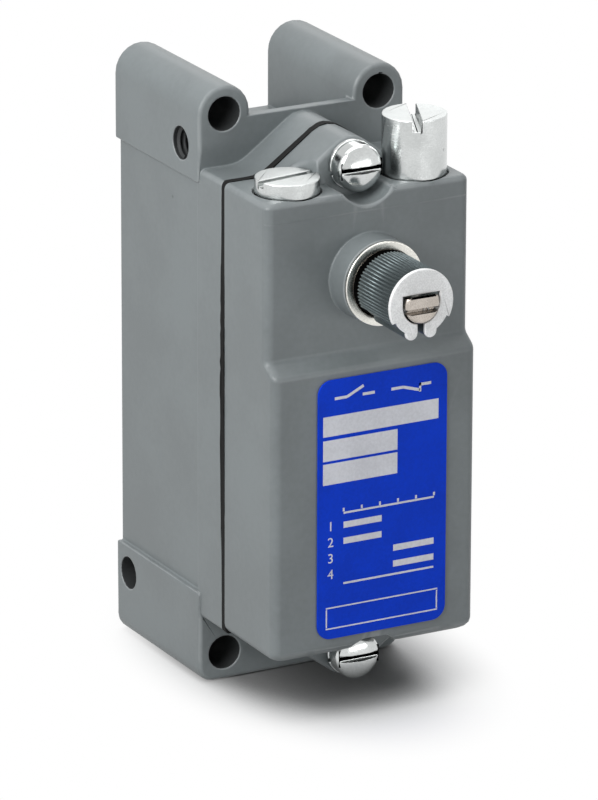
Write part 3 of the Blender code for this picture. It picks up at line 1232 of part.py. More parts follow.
def main():
    clear_scene()
    housing = empty_at("housing_frame", (0, 0, 0))
    shaft_axis = empty_at("shaft_axis", (0, PLUG_Y, SHAFT_Z))
    plunger_axis = empty_at("plunger_axis", (PLUG_X, PLUG_Y, PLUNGER_BOTTOM))
    carriage_axis = empty_at("carriage_axis", (0, CARRIAGE_Y, SHOULDER_Z))
    for carrier in (shaft_axis, plunger_axis, carriage_axis):
        carrier.parent = housing

    make_base(housing)
    make_gasket(housing)
    make_cover(housing)
    make_cover_screws(housing)
    make_nameplate(housing)
    make_bushing(housing)
    make_plug_seals(housing)
    make_stop_plug(housing)
    make_spring_cap(housing)
    make_bearing_plate(housing)
    make_contact_block(housing)
    make_block_cover(housing)
    make_inner_screws(housing)
    make_terminals(housing)

    make_shaft(shaft_axis)
    make_sleeve(shaft_axis)
    make_rocker(shaft_axis)
    make_crank(shaft_axis)
    make_plunger(plunger_axis)
    make_carriage(carriage_axis)
    make_springs(housing, carriage_axis)


main()
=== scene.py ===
"""The looks of a rotary limit switch: cast, plated, moulded and printed surfaces round its solids.

Each operator makes one piece or one group of like pieces, and main() runs them in order.
Units are metres. +Z is up and the front of the switch faces -Y.
"""

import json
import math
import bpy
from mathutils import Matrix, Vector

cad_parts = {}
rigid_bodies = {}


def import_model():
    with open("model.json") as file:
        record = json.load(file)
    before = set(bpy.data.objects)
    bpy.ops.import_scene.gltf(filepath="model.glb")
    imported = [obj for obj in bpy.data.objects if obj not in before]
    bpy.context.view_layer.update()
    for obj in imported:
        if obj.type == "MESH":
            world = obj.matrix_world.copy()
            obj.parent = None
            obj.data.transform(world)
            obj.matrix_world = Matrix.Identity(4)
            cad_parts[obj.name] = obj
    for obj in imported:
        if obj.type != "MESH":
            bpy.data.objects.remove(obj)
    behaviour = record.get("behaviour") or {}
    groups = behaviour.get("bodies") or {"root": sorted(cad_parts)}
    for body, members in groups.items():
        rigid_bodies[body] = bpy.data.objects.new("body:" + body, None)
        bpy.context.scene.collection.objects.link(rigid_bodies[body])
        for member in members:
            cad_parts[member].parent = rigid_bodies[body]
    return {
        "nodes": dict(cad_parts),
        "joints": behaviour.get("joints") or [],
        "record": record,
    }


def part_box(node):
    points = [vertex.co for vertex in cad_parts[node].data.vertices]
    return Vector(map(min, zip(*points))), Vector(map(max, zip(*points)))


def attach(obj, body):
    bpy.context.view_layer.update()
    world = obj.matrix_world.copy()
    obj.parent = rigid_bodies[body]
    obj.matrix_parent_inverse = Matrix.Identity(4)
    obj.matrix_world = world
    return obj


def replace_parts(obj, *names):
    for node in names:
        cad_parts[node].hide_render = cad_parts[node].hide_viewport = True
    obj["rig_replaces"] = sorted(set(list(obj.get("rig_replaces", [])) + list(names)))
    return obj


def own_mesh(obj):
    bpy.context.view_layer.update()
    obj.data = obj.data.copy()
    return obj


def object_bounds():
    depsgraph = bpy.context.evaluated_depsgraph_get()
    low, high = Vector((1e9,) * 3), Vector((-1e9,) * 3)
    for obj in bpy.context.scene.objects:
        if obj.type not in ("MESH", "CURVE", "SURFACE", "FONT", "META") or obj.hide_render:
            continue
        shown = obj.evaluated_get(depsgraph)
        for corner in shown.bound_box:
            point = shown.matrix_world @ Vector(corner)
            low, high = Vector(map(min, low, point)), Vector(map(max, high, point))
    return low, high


bl_info = {
    "name": "Limit Switch Looks",
    "version": (1, 0, 0),
    "blender": (4, 5, 0),
    "location": "3D View > Sidebar > Limit Switch",
    "description": "Dresses the solids of a limit switch with cast, plated and printed surfaces",
    "category": "Object",
}

import bmesh
import bpy
from bpy.props import FloatProperty, FloatVectorProperty, IntProperty, PointerProperty
from mathutils import Matrix, Vector, noise

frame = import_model()

# The solids' own box, and places read from the frame
CAD_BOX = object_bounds()
OPENINGS = {entry["name"]: entry["box_m"] for entry in frame["record"]["physics"]["openings"]}
SHAFT_AXIS = Vector(frame["joints"][0]["pos_m"])

# How meshes are welded, faceted and shaded
WELD = 2e-6
SNAP = 2e-4
FLAT_ANGLE = math.radians(0.6)
SHADE_ANGLE = math.radians(48)
ROUND_STEPS = 96
SMALL_STEPS = 32

# How edges are eased: which ones, in how many steps, and how much of a face they may take
SHARP_ANGLE = math.radians(33)
EASE_SEGMENTS = 3
EASE_SHARE = 0.40
WIDEST_EASE = 0.002

# How a soft cast edge is fenced off, cut fine and smoothed
MELT_FENCE = 1.2
MELT_CUTS = 3
MELT_ROUNDS = 24

# Where a finish wears thin and where a painted edge highlight goes: how far and how tightly an edge
# bends, and how broad a flat face is
WEAR_AND_HIGHLIGHT = "edge_wear_and_highlight"
LEAST_WEAR_AND_HIGHLIGHT_ANGLE = math.radians(4)
LEAST_WEAR_AND_HIGHLIGHT_CURVE = 350.0
FULL_WEAR_AND_HIGHLIGHT_CURVE = 1300.0
BROAD_FACE = 0.0010

# The reach of a bolt hole's rim and of its wall, as a share of its radius
HOLE_RIM = 1.10
HOLE_WALL = 1.04

# The channels round the cover screws, as a share of the screw head's width
CHANNEL_SHARE = 0.675
CHANNEL_SLACK = 0.0003

# Room between two pieces that sit in or on each other
FIT_GAP = 0.0001

UPWARD = (0, 0, 1)
FORWARD = (0, -1, 0)


def colour_setting(name, description, default):
    """A colour that the panel shows."""
    return FloatVectorProperty(
        name=name,
        description=description,
        default=(*default, 1.0),
        subtype="COLOR",
        size=4,
        min=0.0,
        max=1.0,
    )


def length_setting(name, description, default):
    """A length that the panel shows."""
    return FloatProperty(name=name, description=description, default=default, unit="LENGTH")


def angle_setting(name, description, degrees):
    """An angle that the panel shows."""
    turn = math.radians(degrees)
    return FloatProperty(name=name, description=description, default=turn, subtype="ANGLE")


class CastingLook(bpy.types.PropertyGroup):
    """The two painted castings and the sheet between them."""

    paint: colour_setting("Paint", "Colour of the satin enamel", (0.186, 0.208, 0.213))
    # Thin paint is the pale enamel of real thinned edges and dust. It is also laid as a painted
    # highlight along the outer edges and along the cover's parting line.
    thin_paint_and_highlight: colour_setting(
        "Thin paint", "Colour of the enamel drawn back from an edge", (0.335, 0.355, 0.36)
    )
    # Painted shade: the bore colour is nearly black so that the walls of the bolt holes and the
    # threads in the side holes look shaded inside.
    bore: colour_setting(
        "Bore", "Colour of the thin, shaded paint inside the bolt holes", (0.030, 0.033, 0.034)
    )
    rubber: colour_setting(
        "Gasket", "Colour of the rubber sheet between the halves", (0.005, 0.005, 0.005)
    )
    edge: length_setting("Edge round", "Rounding of the cast edges", 0.0010)
    seam_edge: length_setting("Seam round", "Rounding of the edges beside the gasket", 0.0002)
    hole_edge: length_setting("Hole round", "Rounding of the rims of the bolt holes", 0.0004)
    channel_edge: length_setting(
        "Channel round", "Softening of the channels round the cover screws", 0.0013
    )
    line_drop: length_setting(
        "Parting line drop", "Drop of the cover's parting line below the plug's seal", 0.0035
    )
    line_back: length_setting(
        "Parting line setback", "Setback of the parting line's face from the nameplate", 0.0036
    )
    squeeze: FloatProperty(
        name="Gasket fill",
        description="Thickness of the pressed gasket as a share of the CAD sheet",
        default=1.37,
    )
    bead: FloatProperty(
        name="Gasket bead",
        description="Swelling along the gasket's outer edge as a share of the CAD sheet",
        default=0.36,
    )
    ragged: length_setting(
        "Ragged gasket", "How far the cut edge of the gasket wanders", 0.00022
    )
    gasket_rise: length_setting(
        "Gasket rise", "How far the pressed gasket swells past its cut edge", 0.0006
    )
    thread_pitch: length_setting("Conduit pitch", "Pitch of the conduit thread", 0.00181)
    side_pitch: length_setting(
        "Side hole pitch", "Pitch of the threads in the upper side holes", 0.00125
    )
    thread_depth: length_setting(
        "Conduit thread depth", "Height of the conduit thread's ridge", 0.0009
    )


class MetalLook(bpy.types.PropertyGroup):
    """Screws, plugs, bush, shaft and sleeve."""

    zinc_plate: colour_setting("Zinc plate", "Colour of bright zinc plating", (0.66, 0.68, 0.675))
    sleeve: colour_setting(
        "Cast sleeve", "Colour of the sleeve's toothed side", (0.125, 0.150, 0.155)
    )
    raw_face: colour_setting("Raw end face", "Colour of the sleeve's bare end", (0.90, 0.91, 0.91))
    bush: colour_setting("Bush", "Colour of the turned bush", (0.76, 0.75, 0.70))
    steel: colour_setting("Shaft steel", "Colour of the hardened shaft", (0.50, 0.455, 0.41))
    end_plate: colour_setting(
        "Plug ends", "Colour of the faced ends of the plugs", (0.52, 0.54, 0.535)
    )
    spring: colour_setting("Spring wire", "Colour of the springs", (0.36, 0.36, 0.37))
    edge: length_setting("Machined edge", "Chamfer of turned and milled edges", 0.00025)
    cover_slot: length_setting("Cover screw slot", "Width of the cover screws' slots", 0.0014)
    cover_slot_depth: length_setting("Cover slot depth", "Depth of the cover screws' slots", 0.0013)
    teeth: IntProperty(
        name="Sleeve teeth",
        description="Number of teeth that would go round the whole sleeve",
        default=60,
    )
    tooth_depth: length_setting("Tooth depth", "Depth of the sleeve's teeth", 0.00035)


class PlateLook(bpy.types.PropertyGroup):
    """The nameplate and its plain print."""

    blue: colour_setting("Plate blue", "Colour of the plate's ground", (0.0005, 0.047, 0.65))
    white: colour_setting("Print white", "Colour of the fields and marks", (0.76, 0.77, 0.82))
    corner: length_setting("Corner", "Radius of the plate's corners", 0.0032)
    ink: length_setting("Ink", "Thickness of the print", 0.00003)


class StageLook(bpy.types.PropertyGroup):
    """Floor, light and camera."""

    floor: colour_setting("Floor", "Colour of the floor", (0.93, 0.93, 0.93))
    bounce: colour_setting(
        "Floor bounce", "Colour of the light that the floor throws back", (0.40, 0.40, 0.40)
    )
    floor_gap: length_setting(
        "Floor gap", "Gap that keeps the floor and the foot from sharing a plane", 0.0001
    )
    contact: colour_setting(
        "Contact shadow", "Colour of the floor under and beside the object", (0.22, 0.22, 0.22)
    )
    azimuth: angle_setting(
        "View azimuth", "Turn of the camera round the switch, from straight ahead", -28.4
    )
    elevation: angle_setting("View elevation", "Height of the camera above the horizon", 18.75)
    roll: angle_setting("View roll", "Roll of the camera about its own axis", 0.18)
    distance: length_setting("View distance", "Distance from the camera to its target", 1.497)
    lens: FloatProperty(
        name="Lens",
        description="Focal length for a sensor 36 mm along its long side",
        default=315.0,
    )
    target: FloatVectorProperty(
        name="View target",
        description="Point in the middle of the picture",
        subtype="TRANSLATION",
        default=(-0.0047, -0.0471, -0.0029),
    )


class LimitSwitchLook(bpy.types.PropertyGroup):
    """All that the panel shows."""

    casting: PointerProperty(type=CastingLook)
    metal: PointerProperty(type=MetalLook)
    plate: PointerProperty(type=PlateLook)
    stage: PointerProperty(type=StageLook)


# Meshes


def merged_copy(node):
    """A bmesh of a CAD node with its loose triangles welded into flat faces."""
    bm = bmesh.new()
    bm.from_mesh(frame["nodes"][node].data)
    for layer in list(bm.loops.layers.uv.values()):
        bm.loops.layers.uv.remove(layer)
    bmesh.ops.remove_doubles(bm, verts=bm.verts, dist=WELD)
    bmesh.ops.dissolve_limit(bm, angle_limit=FLAT_ANGLE, verts=bm.verts, edges=bm.edges)
    return bm


def is_flat(edge):
    """True where the faces on the two sides of an edge lie in one plane."""
    return edge.is_manifold and edge.calc_face_angle() < FLAT_ANGLE


def flat_sheets(bm):
    """The lists of faces that lie in one plane and meet along flat edges."""
    sheets = []
    seen = set()
    for first in bm.faces:
        if first in seen:
            continue
        seen.add(first)
        sheet, front = [first], [first]
        while front:
            for edge in front.pop().edges:
                if is_flat(edge):
                    beyond = [face for face in edge.link_faces if face not in seen]
                    seen.update(beyond)
                    sheet += beyond
                    front += beyond
        if len(sheet) > 1:
            sheets.append(sheet)
    return sheets


def rims(sheet):
    """The middle of each closed loop of edges round a sheet, with its length, longest first."""
    edges = [edge for face in sheet for edge in face.edges if not is_flat(edge)]
    border = set(edges)
    found = []
    for first in edges:
        if first not in border:
            continue
        border.remove(first)
        loop, end = [first], first.verts[1]
        while end != first.verts[0]:
            following = next(edge for edge in end.link_edges if edge in border)
            border.remove(following)
            loop.append(following)
            end = following.other_vert(end)
        total = sum((vert.co for edge in loop for vert in edge.verts), Vector())
        found.append((sum(edge.calc_length() for edge in loop), total / (2 * len(loop))))
    return sorted(found, key=lambda rim: rim[0], reverse=True)


def spoked_copy(node):
    """A merged copy whose flat faces are parted straight through each hole, to be bevelled."""
    bm = merged_copy(node)
    bridge = bm.edges.layers.int.new("bridge")
    for edge in bm.edges:
        edge[bridge] = int(is_flat(edge))
    for sheet in flat_sheets(bm):
        normal = sheet[0].normal.copy()
        in_plane = [axis for axis in Matrix.Identity(3) if abs(axis.dot(normal)) < 0.5]
        for _, middle in rims(sheet)[1:]:
            for axis in in_plane:
                parts = [part for face in sheet for part in (face, *face.edges, *face.verts)]
                geom = list(dict.fromkeys(parts))
                made = bmesh.ops.bisect_plane(
                    bm, geom=geom, dist=SNAP, plane_co=middle, plane_no=axis
                )
                for part in made["geom_cut"]:
                    if isinstance(part, bmesh.types.BMEdge):
                        part[bridge] = 0
                sheet = [part for part in made["geom"] if isinstance(part, bmesh.types.BMFace)]
    bridges = [edge for edge in bm.edges if edge[bridge] and is_flat(edge)]
    bmesh.ops.dissolve_edges(bm, edges=bridges, use_verts=False)
    return bm


def turned(profile, ring=False):
    """A shape turned round Z from (radius, height) points. A ring's profile closes on itself."""
    bm = bmesh.new()
    verts = [bm.verts.new((radius, 0, height)) for radius, height in profile]
    pairs = list(zip(verts, verts[1:]))
    if ring:
        pairs.append((verts[-1], verts[0]))
    edges = [bm.edges.new(pair) for pair in pairs]
    bmesh.ops.spin(
        bm,
        geom=verts + edges,
        cent=(0, 0, 0),
        axis=UPWARD,
        angle=math.tau,
        steps=ROUND_STEPS,
        use_merge=True,
    )
    bmesh.ops.remove_doubles(bm, verts=bm.verts, dist=WELD)
    if not ring:
        bmesh.ops.holes_fill(bm, edges=[edge for edge in bm.edges if edge.is_boundary], sides=0)
    bmesh.ops.recalc_face_normals(bm, faces=bm.faces)
    return bm


def swept(section, angle, steps, rise=0.0):
    """A (radius, height) section swept round Z through an angle, a rise higher at each step."""
    bm = bmesh.new()
    face = bm.faces.new([bm.verts.new((radius, 0, height)) for radius, height in section])
    bmesh.ops.spin(
        bm,
        geom=[face, *face.edges, *face.verts],
        cent=(0, 0, 0),
        axis=UPWARD,
        dvec=(0, 0, rise),
        angle=angle,
        steps=steps,
    )
    bmesh.ops.recalc_face_normals(bm, faces=bm.faces)
    return bm


def raise_face(bm, face, height):
    """Extrude a face along Z, and return the new one."""
    made = bmesh.ops.extrude_face_region(bm, geom=[face])["geom"]
    lifted = [part for part in made if isinstance(part, bmesh.types.BMVert)]
    bmesh.ops.translate(bm, verts=lifted, vec=(0, 0, height))
    return next(part for part in made if isinstance(part, bmesh.types.BMFace))


def prisms(outlines, height):
    """Flat (x, y) outlines raised along Z from 0 to a height."""
    bm = bmesh.new()
    for outline in outlines:
        face = bm.faces.new([bm.verts.new((x, y, 0)) for x, y in outline])
        raise_face(bm, face, height)
    bmesh.ops.recalc_face_normals(bm, faces=bm.faces)
    return bm


def block(low, high):
    """A box between two corners."""
    bm = bmesh.new()
    low, high = Vector(low), Vector(high)
    place = Matrix.Translation((low + high) / 2) @ Matrix.Diagonal((*(high - low), 1))
    bmesh.ops.create_cube(bm, size=1, matrix=place)
    return bm


def arc(radius, start, end, steps, centre=(0, 0)):
    """Points on part of a circle."""
    angles = [start + (end - start) * step / steps for step in range(steps + 1)]
    return [(centre[0] + radius * math.cos(a), centre[1] + radius * math.sin(a)) for a in angles]


def rounded_rectangle(left, right, low, high, radius, steps=8):
    """An outline with four equal round corners."""
    quarter = math.pi / 2
    centres = [
        (right - radius, high - radius),
        (left + radius, high - radius),
        (left + radius, low + radius),
        (right - radius, low + radius),
    ]
    points = []
    for index, centre in enumerate(centres):
        points += arc(radius, quarter * index, quarter * (index + 1), steps, centre)
    return points


def bar(left, right, low, high):
    """The outline of an upright rectangle."""
    return [(left, low), (right, low), (right, high), (left, high)]


def stroke(start, end, width):
    """The outline of a straight line of a width."""
    along = Vector(end) - Vector(start)
    aside = Vector((-along.y, along.x)).normalized() * width / 2
    corners = ((start, -aside), (end, -aside), (end, aside), (start, aside))
    return [tuple(Vector(point) + shift) for point, shift in corners]


def linked_object(name, bm):
    """An object in the scene with a bmesh made its mesh."""
    mesh = bpy.data.meshes.new(name)
    bm.to_mesh(mesh)
    bm.free()
    obj = bpy.data.objects.new(name, mesh)
    bpy.context.scene.collection.objects.link(obj)
    return obj


def applied(obj):
    """A bmesh of an object with its modifiers applied. The object goes."""
    graph = bpy.context.evaluated_depsgraph_get()
    bm = bmesh.new()
    bm.from_object(obj, graph)
    bpy.data.objects.remove(obj)
    return bm


def cut(bm, tool):
    """A bmesh with a tool taken out of it."""
    target = linked_object("target", bm)
    helper = linked_object("tool", tool)
    modifier = target.modifiers.new("cut", "BOOLEAN")
    modifier.operation = "DIFFERENCE"
    modifier.solver = "EXACT"
    modifier.object = helper
    made = applied(target)
    bpy.data.objects.remove(helper)
    bmesh.ops.dissolve_limit(made, angle_limit=FLAT_ANGLE, verts=made.verts, edges=made.edges)
    return made


def line_gap(point, first, second):
    """The distance from a point to the line between two ends."""
    along = second - first
    share = min(max((point - first).dot(along) / along.length_squared, 0.0), 1.0)
    return (point - first - along * share).length


def across(point, first, second):
    """True where a point lies beside a line and not past its ends."""
    along = second - first
    return 0 < (point - first).dot(along) < along.length_squared


def clearance(edge):
    """The least distance straight across either face of an edge to another sharp edge."""
    ends = [vert.co for vert in edge.verts]
    gap = math.inf
    for face in edge.link_faces:
        for other in face.edges:
            if is_flat(other) or any(vert in edge.verts for vert in other.verts):
                continue
            others = [vert.co for vert in other.verts]
            pairs = [(point, ends) for point in others] + [(point, others) for point in ends]
            beside = [line_gap(point, *line) for point, line in pairs if across(point, *line)]
            gap = min([gap, *beside])
    return gap


def eased(bm, width):
    """Round the sharp edges. The width is a length, or a function of the edge that gives one."""
    weight = bm.edges.layers.float.new("bevel_weight_edge")
    for edge in bm.edges:
        if not edge.is_manifold or edge.calc_face_angle() < SHARP_ANGLE:
            continue
        wanted = width(edge) if callable(width) else width
        narrowest = min(face.calc_area() / edge.calc_length() for face in edge.link_faces)
        edge[weight] = min(wanted, narrowest * EASE_SHARE) / WIDEST_EASE
    obj = linked_object("easing", bm)
    modifier = obj.modifiers.new("ease", "BEVEL")
    modifier.limit_method = "WEIGHT"
    modifier.width = WIDEST_EASE
    modifier.segments = EASE_SEGMENTS
    modifier.profile = 0.5
    modifier.use_clamp_overlap = False
    return applied(obj)


def melt(bm, lines, reach):
    """Soften a cast edge: the faces near its lines are cut fine, then smoothed.

    Long edges that run away from the lines are split first, so that the rest of a flat face
    stays flat."""

    def near(point):
        return any(line_gap(point, *line) < reach for line in lines)

    def triangulate_near():
        faces = [face for face in bm.faces if any(near(vert.co) for vert in face.verts)]
        bmesh.ops.triangulate(bm, faces=faces)

    fence = []
    for edge in list(bm.edges):
        ends = [near(vert.co) for vert in edge.verts]
        if ends[0] != ends[1] and edge.calc_length() > 2 * reach:
            start = edge.verts[0] if ends[0] else edge.verts[1]
            share = MELT_FENCE * reach / edge.calc_length()
            fence.append(bmesh.utils.edge_split(edge, start, share)[1])
    bmesh.ops.connect_verts(bm, verts=fence)
    triangulate_near()
    for _ in range(MELT_CUTS):
        inside = {vert for vert in bm.verts if near(vert.co)}
        touched = [edge for edge in bm.edges if inside.intersection(edge.verts)]
        split = [edge for edge in touched if near((edge.verts[0].co + edge.verts[1].co) / 2)]
        bmesh.ops.subdivide_edges(bm, edges=split, cuts=1)
        triangulate_near()
    soft = [
        vert
        for vert in bm.verts
        if near(vert.co) and all(edge.calc_length() < reach for edge in vert.link_edges)
    ]
    every_axis = {"use_axis_x": True, "use_axis_y": True, "use_axis_z": True}
    for _ in range(MELT_ROUNDS):
        bmesh.ops.smooth_vert(bm, verts=soft, factor=0.5, **every_axis)


def mark_wear_and_highlight(bm):
    """Store how tightly each point bends outwards, from 0 on flats to 1 on a small outer round."""
    layer = bm.verts.layers.float.new(WEAR_AND_HIGHLIGHT)
    for edge in bm.edges:
        if not edge.is_manifold or not edge.is_convex:
            continue
        angle = edge.calc_face_angle()
        if angle < LEAST_WEAR_AND_HIGHLIGHT_ANGLE:
            continue
        spread = sum(face.calc_area() for face in edge.link_faces) / (2 * edge.calc_length())
        curve = angle / max(spread, WELD)
        share = (curve - LEAST_WEAR_AND_HIGHLIGHT_CURVE) / (FULL_WEAR_AND_HIGHLIGHT_CURVE - LEAST_WEAR_AND_HIGHLIGHT_CURVE)
        worn_and_highlighted = min(max(share, 0.0), 1.0)
        for vert in edge.verts:
            vert[layer] = max(vert[layer], worn_and_highlighted)
    for face in bm.faces:
        if 2 * face.calc_area() / face.calc_perimeter() > BROAD_FACE:
            for vert in face.verts:
                vert[layer] = 0.0


def piece(name, bm, body, materials, nodes=()):
    """A finished piece that rides on a body and stands for the CAD nodes given."""
    mark_wear_and_highlight(bm)
    obj = linked_object(name, bm)
    mesh = obj.data
    mesh.shade_smooth()
    mesh.set_sharp_from_angle(angle=SHADE_ANGLE)
    for material in materials:
        mesh.materials.append(material)
    normals = obj.modifiers.new("even_normals", "WEIGHTED_NORMAL")
    normals.keep_sharp = True
    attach(obj, body)
    if nodes:
        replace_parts(obj, *nodes)
    return obj


def moved(bm, matrix):
    """A bmesh put in its place."""
    bmesh.ops.transform(bm, matrix=matrix, verts=bm.verts)
    return bm


def facing_front(x, y, z):
    """The place of a shape whose own Z is to point forwards."""
    return Matrix.Translation((x, y, z)) @ Matrix.Rotation(math.radians(90), 4, "X")


# Materials


def set_inputs(tree, node, inputs):
    """Link the inputs of a node that are given a socket, and set the others."""
    for key, value in inputs.items():
        if isinstance(value, bpy.types.NodeSocket):
            tree.links.new(value, node.inputs[key])
        else:
            node.inputs[key].default_value = value


def add(tree, kind, inputs=None, **settings):
    """A node with its settings made and its inputs set or linked."""
    made = tree.nodes.new(kind)
    for key, value in settings.items():
        setattr(made, key, value)
    set_inputs(tree, made, inputs or {})
    return made


def maths(tree, operation, first, second=0.0):
    """One sum of two values."""
    return add(tree, "ShaderNodeMath", {0: first, 1: second}, operation=operation).outputs[0]


def times(tree, first, second):
    """One value times another."""
    return maths(tree, "MULTIPLY", first, second)


def ramp(tree, value, low, high, to_low=0.0, to_high=1.0):
    """A value eased from one range into another."""
    ends = {"Value": value, "From Min": low, "From Max": high, "To Min": to_low, "To Max": to_high}
    return add(tree, "ShaderNodeMapRange", ends, interpolation_type="SMOOTHSTEP").outputs[0]


def mix_colour(tree, factor, first, second):
    """A colour between two others."""
    inputs = {0: factor, 6: first, 7: second}
    return add(tree, "ShaderNodeMix", inputs, data_type="RGBA").outputs[2]


def grain(tree, place, scale, detail=2.0):
    """Soft noise round 0.5."""
    inputs = {"Vector": place, "Scale": scale, "Detail": detail}
    return add(tree, "ShaderNodeTexNoise", inputs).outputs[0]


def tinted(colour, share, most=1.0):
    """A colour made darker or lighter."""
    return [min(channel * share, most) for channel in colour[:3]] + [1.0]


def group_tree(name, values, output):
    """A node group that reads a place and some values and puts out one value."""
    tree = bpy.data.node_groups.new(name, "ShaderNodeTree")
    tree.interface.new_socket("Vector", in_out="INPUT", socket_type="NodeSocketVector")
    for label, default in values.items():
        socket = tree.interface.new_socket(label, in_out="INPUT", socket_type="NodeSocketFloat")
        socket.default_value = default
    tree.interface.new_socket(output, in_out="OUTPUT", socket_type="NodeSocketFloat")
    return tree, add(tree, "NodeGroupInput").outputs, add(tree, "NodeGroupOutput").inputs[output]


def tone_group():
    """Slow drifts and fine mottling of a surface, as one value round 0.5."""
    tree, given, out = group_tree("Surface tone", {"Scale": 60.0, "Fine": 0.3}, "Value")
    slow = grain(tree, given["Vector"], given["Scale"], 3.0)
    quick = grain(tree, given["Vector"], times(tree, given["Scale"], 14.0))
    both = add(tree, "ShaderNodeMix", {0: given["Fine"], 2: slow, 3: quick})
    tree.links.new(both.outputs[0], out)
    return tree


def speck_group():
    """Small scattered specks: chips, pits or dust."""
    values = {"Scale": 300.0, "Share": 0.03, "Size": 0.25}
    tree, given, out = group_tree("Specks", values, "Mask")
    scattered = {"Vector": given["Vector"], "Scale": given["Scale"]}
    cells = add(tree, "ShaderNodeTexVoronoi", scattered).outputs
    chance = add(tree, "ShaderNodeSeparateColor", {0: cells["Color"]}).outputs
    chosen = maths(tree, "LESS_THAN", chance[0], given["Share"])
    reach = times(tree, chance[1], given["Size"])
    ends = {"Value": cells["Distance"], "From Max": reach, "To Min": 1.0, "To Max": 0.0}
    inside = add(tree, "ShaderNodeMapRange", ends).outputs[0]
    tree.links.new(times(tree, chosen, inside), out)
    return tree


def wear_and_highlight_group():
    """Where a finish is paler along the outer edges, broken up by noise: partly real thinning,
    partly a painted edge highlight.
    """
    values = {"Edge": 0.0, "Amount": 0.5, "Scale": 400.0}
    tree, given, out = group_tree("Edge wear and highlight", values, "Mask")
    broken = grain(tree, given["Vector"], given["Scale"], 4.0)
    lifted = maths(tree, "ADD", broken, maths(tree, "SUBTRACT", given["Amount"], 0.5))
    tree.links.new(times(tree, ramp(tree, lifted, 0.32, 0.68), given["Edge"]), out)
    return tree


def lathe_group():
    """Fine tool lines: rings on an end face, and bands along a turned side."""
    tree, given, out = group_tree("Lathe lines", {"Scale": 6000.0}, "Value")
    parts = add(tree, "ShaderNodeSeparateXYZ", {0: given["Vector"]}).outputs
    flat = add(tree, "ShaderNodeCombineXYZ", {0: parts[0], 1: parts[1]}).outputs[0]
    radius = add(tree, "ShaderNodeVectorMath", {0: flat}, operation="LENGTH").outputs["Value"]
    place = times(tree, maths(tree, "ADD", radius, parts[2]), given["Scale"])
    inputs = {"W": place, "Scale": 1.0, "Detail": 2.0}
    lines = add(tree, "ShaderNodeTexNoise", inputs, noise_dimensions="1D")
    tree.links.new(lines.outputs[0], out)
    return tree


GROUP_MAKERS = {"tone": tone_group, "specks": speck_group, "wear_and_highlight": wear_and_highlight_group, "lathe": lathe_group}
GROUPS = {}


def effect(tree, kind, place, **values):
    """One of the shared effects, placed in a material with its own values."""
    if kind not in GROUPS:
        GROUPS[kind] = GROUP_MAKERS[kind]()
    inputs = {"Vector": place, **values}
    return add(tree, "ShaderNodeGroup", inputs, node_tree=GROUPS[kind]).outputs[0]


def new_material(name):
    """A material, its tree, its shader and the piece's own coordinates."""
    material = bpy.data.materials.new(name)
    material.use_nodes = True
    tree = material.node_tree
    shader = tree.nodes["Principled BSDF"]
    place = add(tree, "ShaderNodeTexCoord").outputs["Object"]
    return material, tree, shader, place


def edge_value(tree):
    """How tightly the surface bends outwards."""
    return add(tree, "ShaderNodeAttribute", attribute_name=WEAR_AND_HIGHLIGHT).outputs["Fac"]


def set_bump(tree, shader, height, distance, strength=1.0):
    """Fine relief of a surface."""
    inputs = {"Height": height, "Distance": distance, "Strength": strength}
    tree.links.new(add(tree, "ShaderNodeBump", inputs).outputs[0], shader.inputs["Normal"])


def parting_line(tree, place, level, front):
    """A casting die's line across a front face: a mask for its painted highlight, and a point's
    side of it.
    """
    wander, line_width, step_width = 0.0006, 0.00030, 0.00025
    axes = add(tree, "ShaderNodeSeparateXYZ", {0: place}).outputs
    drift = grain(tree, place, 90.0)
    above = maths(tree, "SUBTRACT", axes["Z"], times(tree, drift, wander))
    above = maths(tree, "SUBTRACT", above, level - wander / 2)
    on_front = ramp(tree, axes["Y"], front + 0.0010, front + 0.0016, 1.0, 0.0)
    line = ramp(tree, maths(tree, "ABSOLUTE", above), 0.00005, line_width, 1.0, 0.0)
    broken = ramp(tree, drift, 0.40, 0.62, 0.25, 1.0)
    shown = times(tree, times(tree, line, broken), on_front)
    side = times(tree, ramp(tree, above, -step_width, step_width), on_front)
    return shown, side


def enamel(name, paint, thin_paint_and_highlight, line=None):
    """Satin enamel on a casting, paler along the edges where it is thin and where a painted edge
    highlight is laid, with a few chips and dust.

    A line is the level of the die's parting line and the front face that it crosses."""
    material, tree, shader, place = new_material(name)
    tone = effect(tree, "tone", place, Scale=55.0, Fine=0.25)
    worn_and_highlighted = effect(tree, "wear_and_highlight", place, Edge=edge_value(tree), Amount=0.62, Scale=260.0)
    chips = effect(tree, "specks", place, Scale=210.0, Share=0.018, Size=0.16)
    dust = effect(tree, "specks", place, Scale=620.0, Share=0.030, Size=0.20)
    drifts = ramp(tree, tone, 0.3, 0.7)
    colour = mix_colour(tree, drifts, tinted(paint, 0.90), tinted(paint, 1.10))
    # Paler outer edges: partly real thin paint, partly a painted edge highlight.
    colour = mix_colour(tree, times(tree, worn_and_highlighted, 0.55), colour, thin_paint_and_highlight)
    colour = mix_colour(tree, times(tree, dust, 0.30), colour, thin_paint_and_highlight)
    colour = mix_colour(tree, times(tree, chips, 0.75), colour, tinted(paint, 0.45))
    height = maths(tree, "SUBTRACT", grain(tree, place, 1100.0), times(tree, chips, 2.5))
    if line:
        shown, side = parting_line(tree, place, *line)
        # Painted highlight: a broken pale line along the die's parting line.
        colour = mix_colour(tree, times(tree, shown, 0.45), colour, thin_paint_and_highlight)
        height = maths(tree, "ADD", height, times(tree, side, 5.0))
    satin = ramp(tree, tone, 0.25, 0.75, 0.36, 0.47)
    rough = maths(tree, "ADD", satin, times(tree, chips, 0.3))
    looks = {"Base Color": colour, "Roughness": rough, "Specular IOR Level": 0.45}
    set_inputs(tree, shader, looks)
    set_bump(tree, shader, height, distance=0.00003, strength=0.30)
    return material


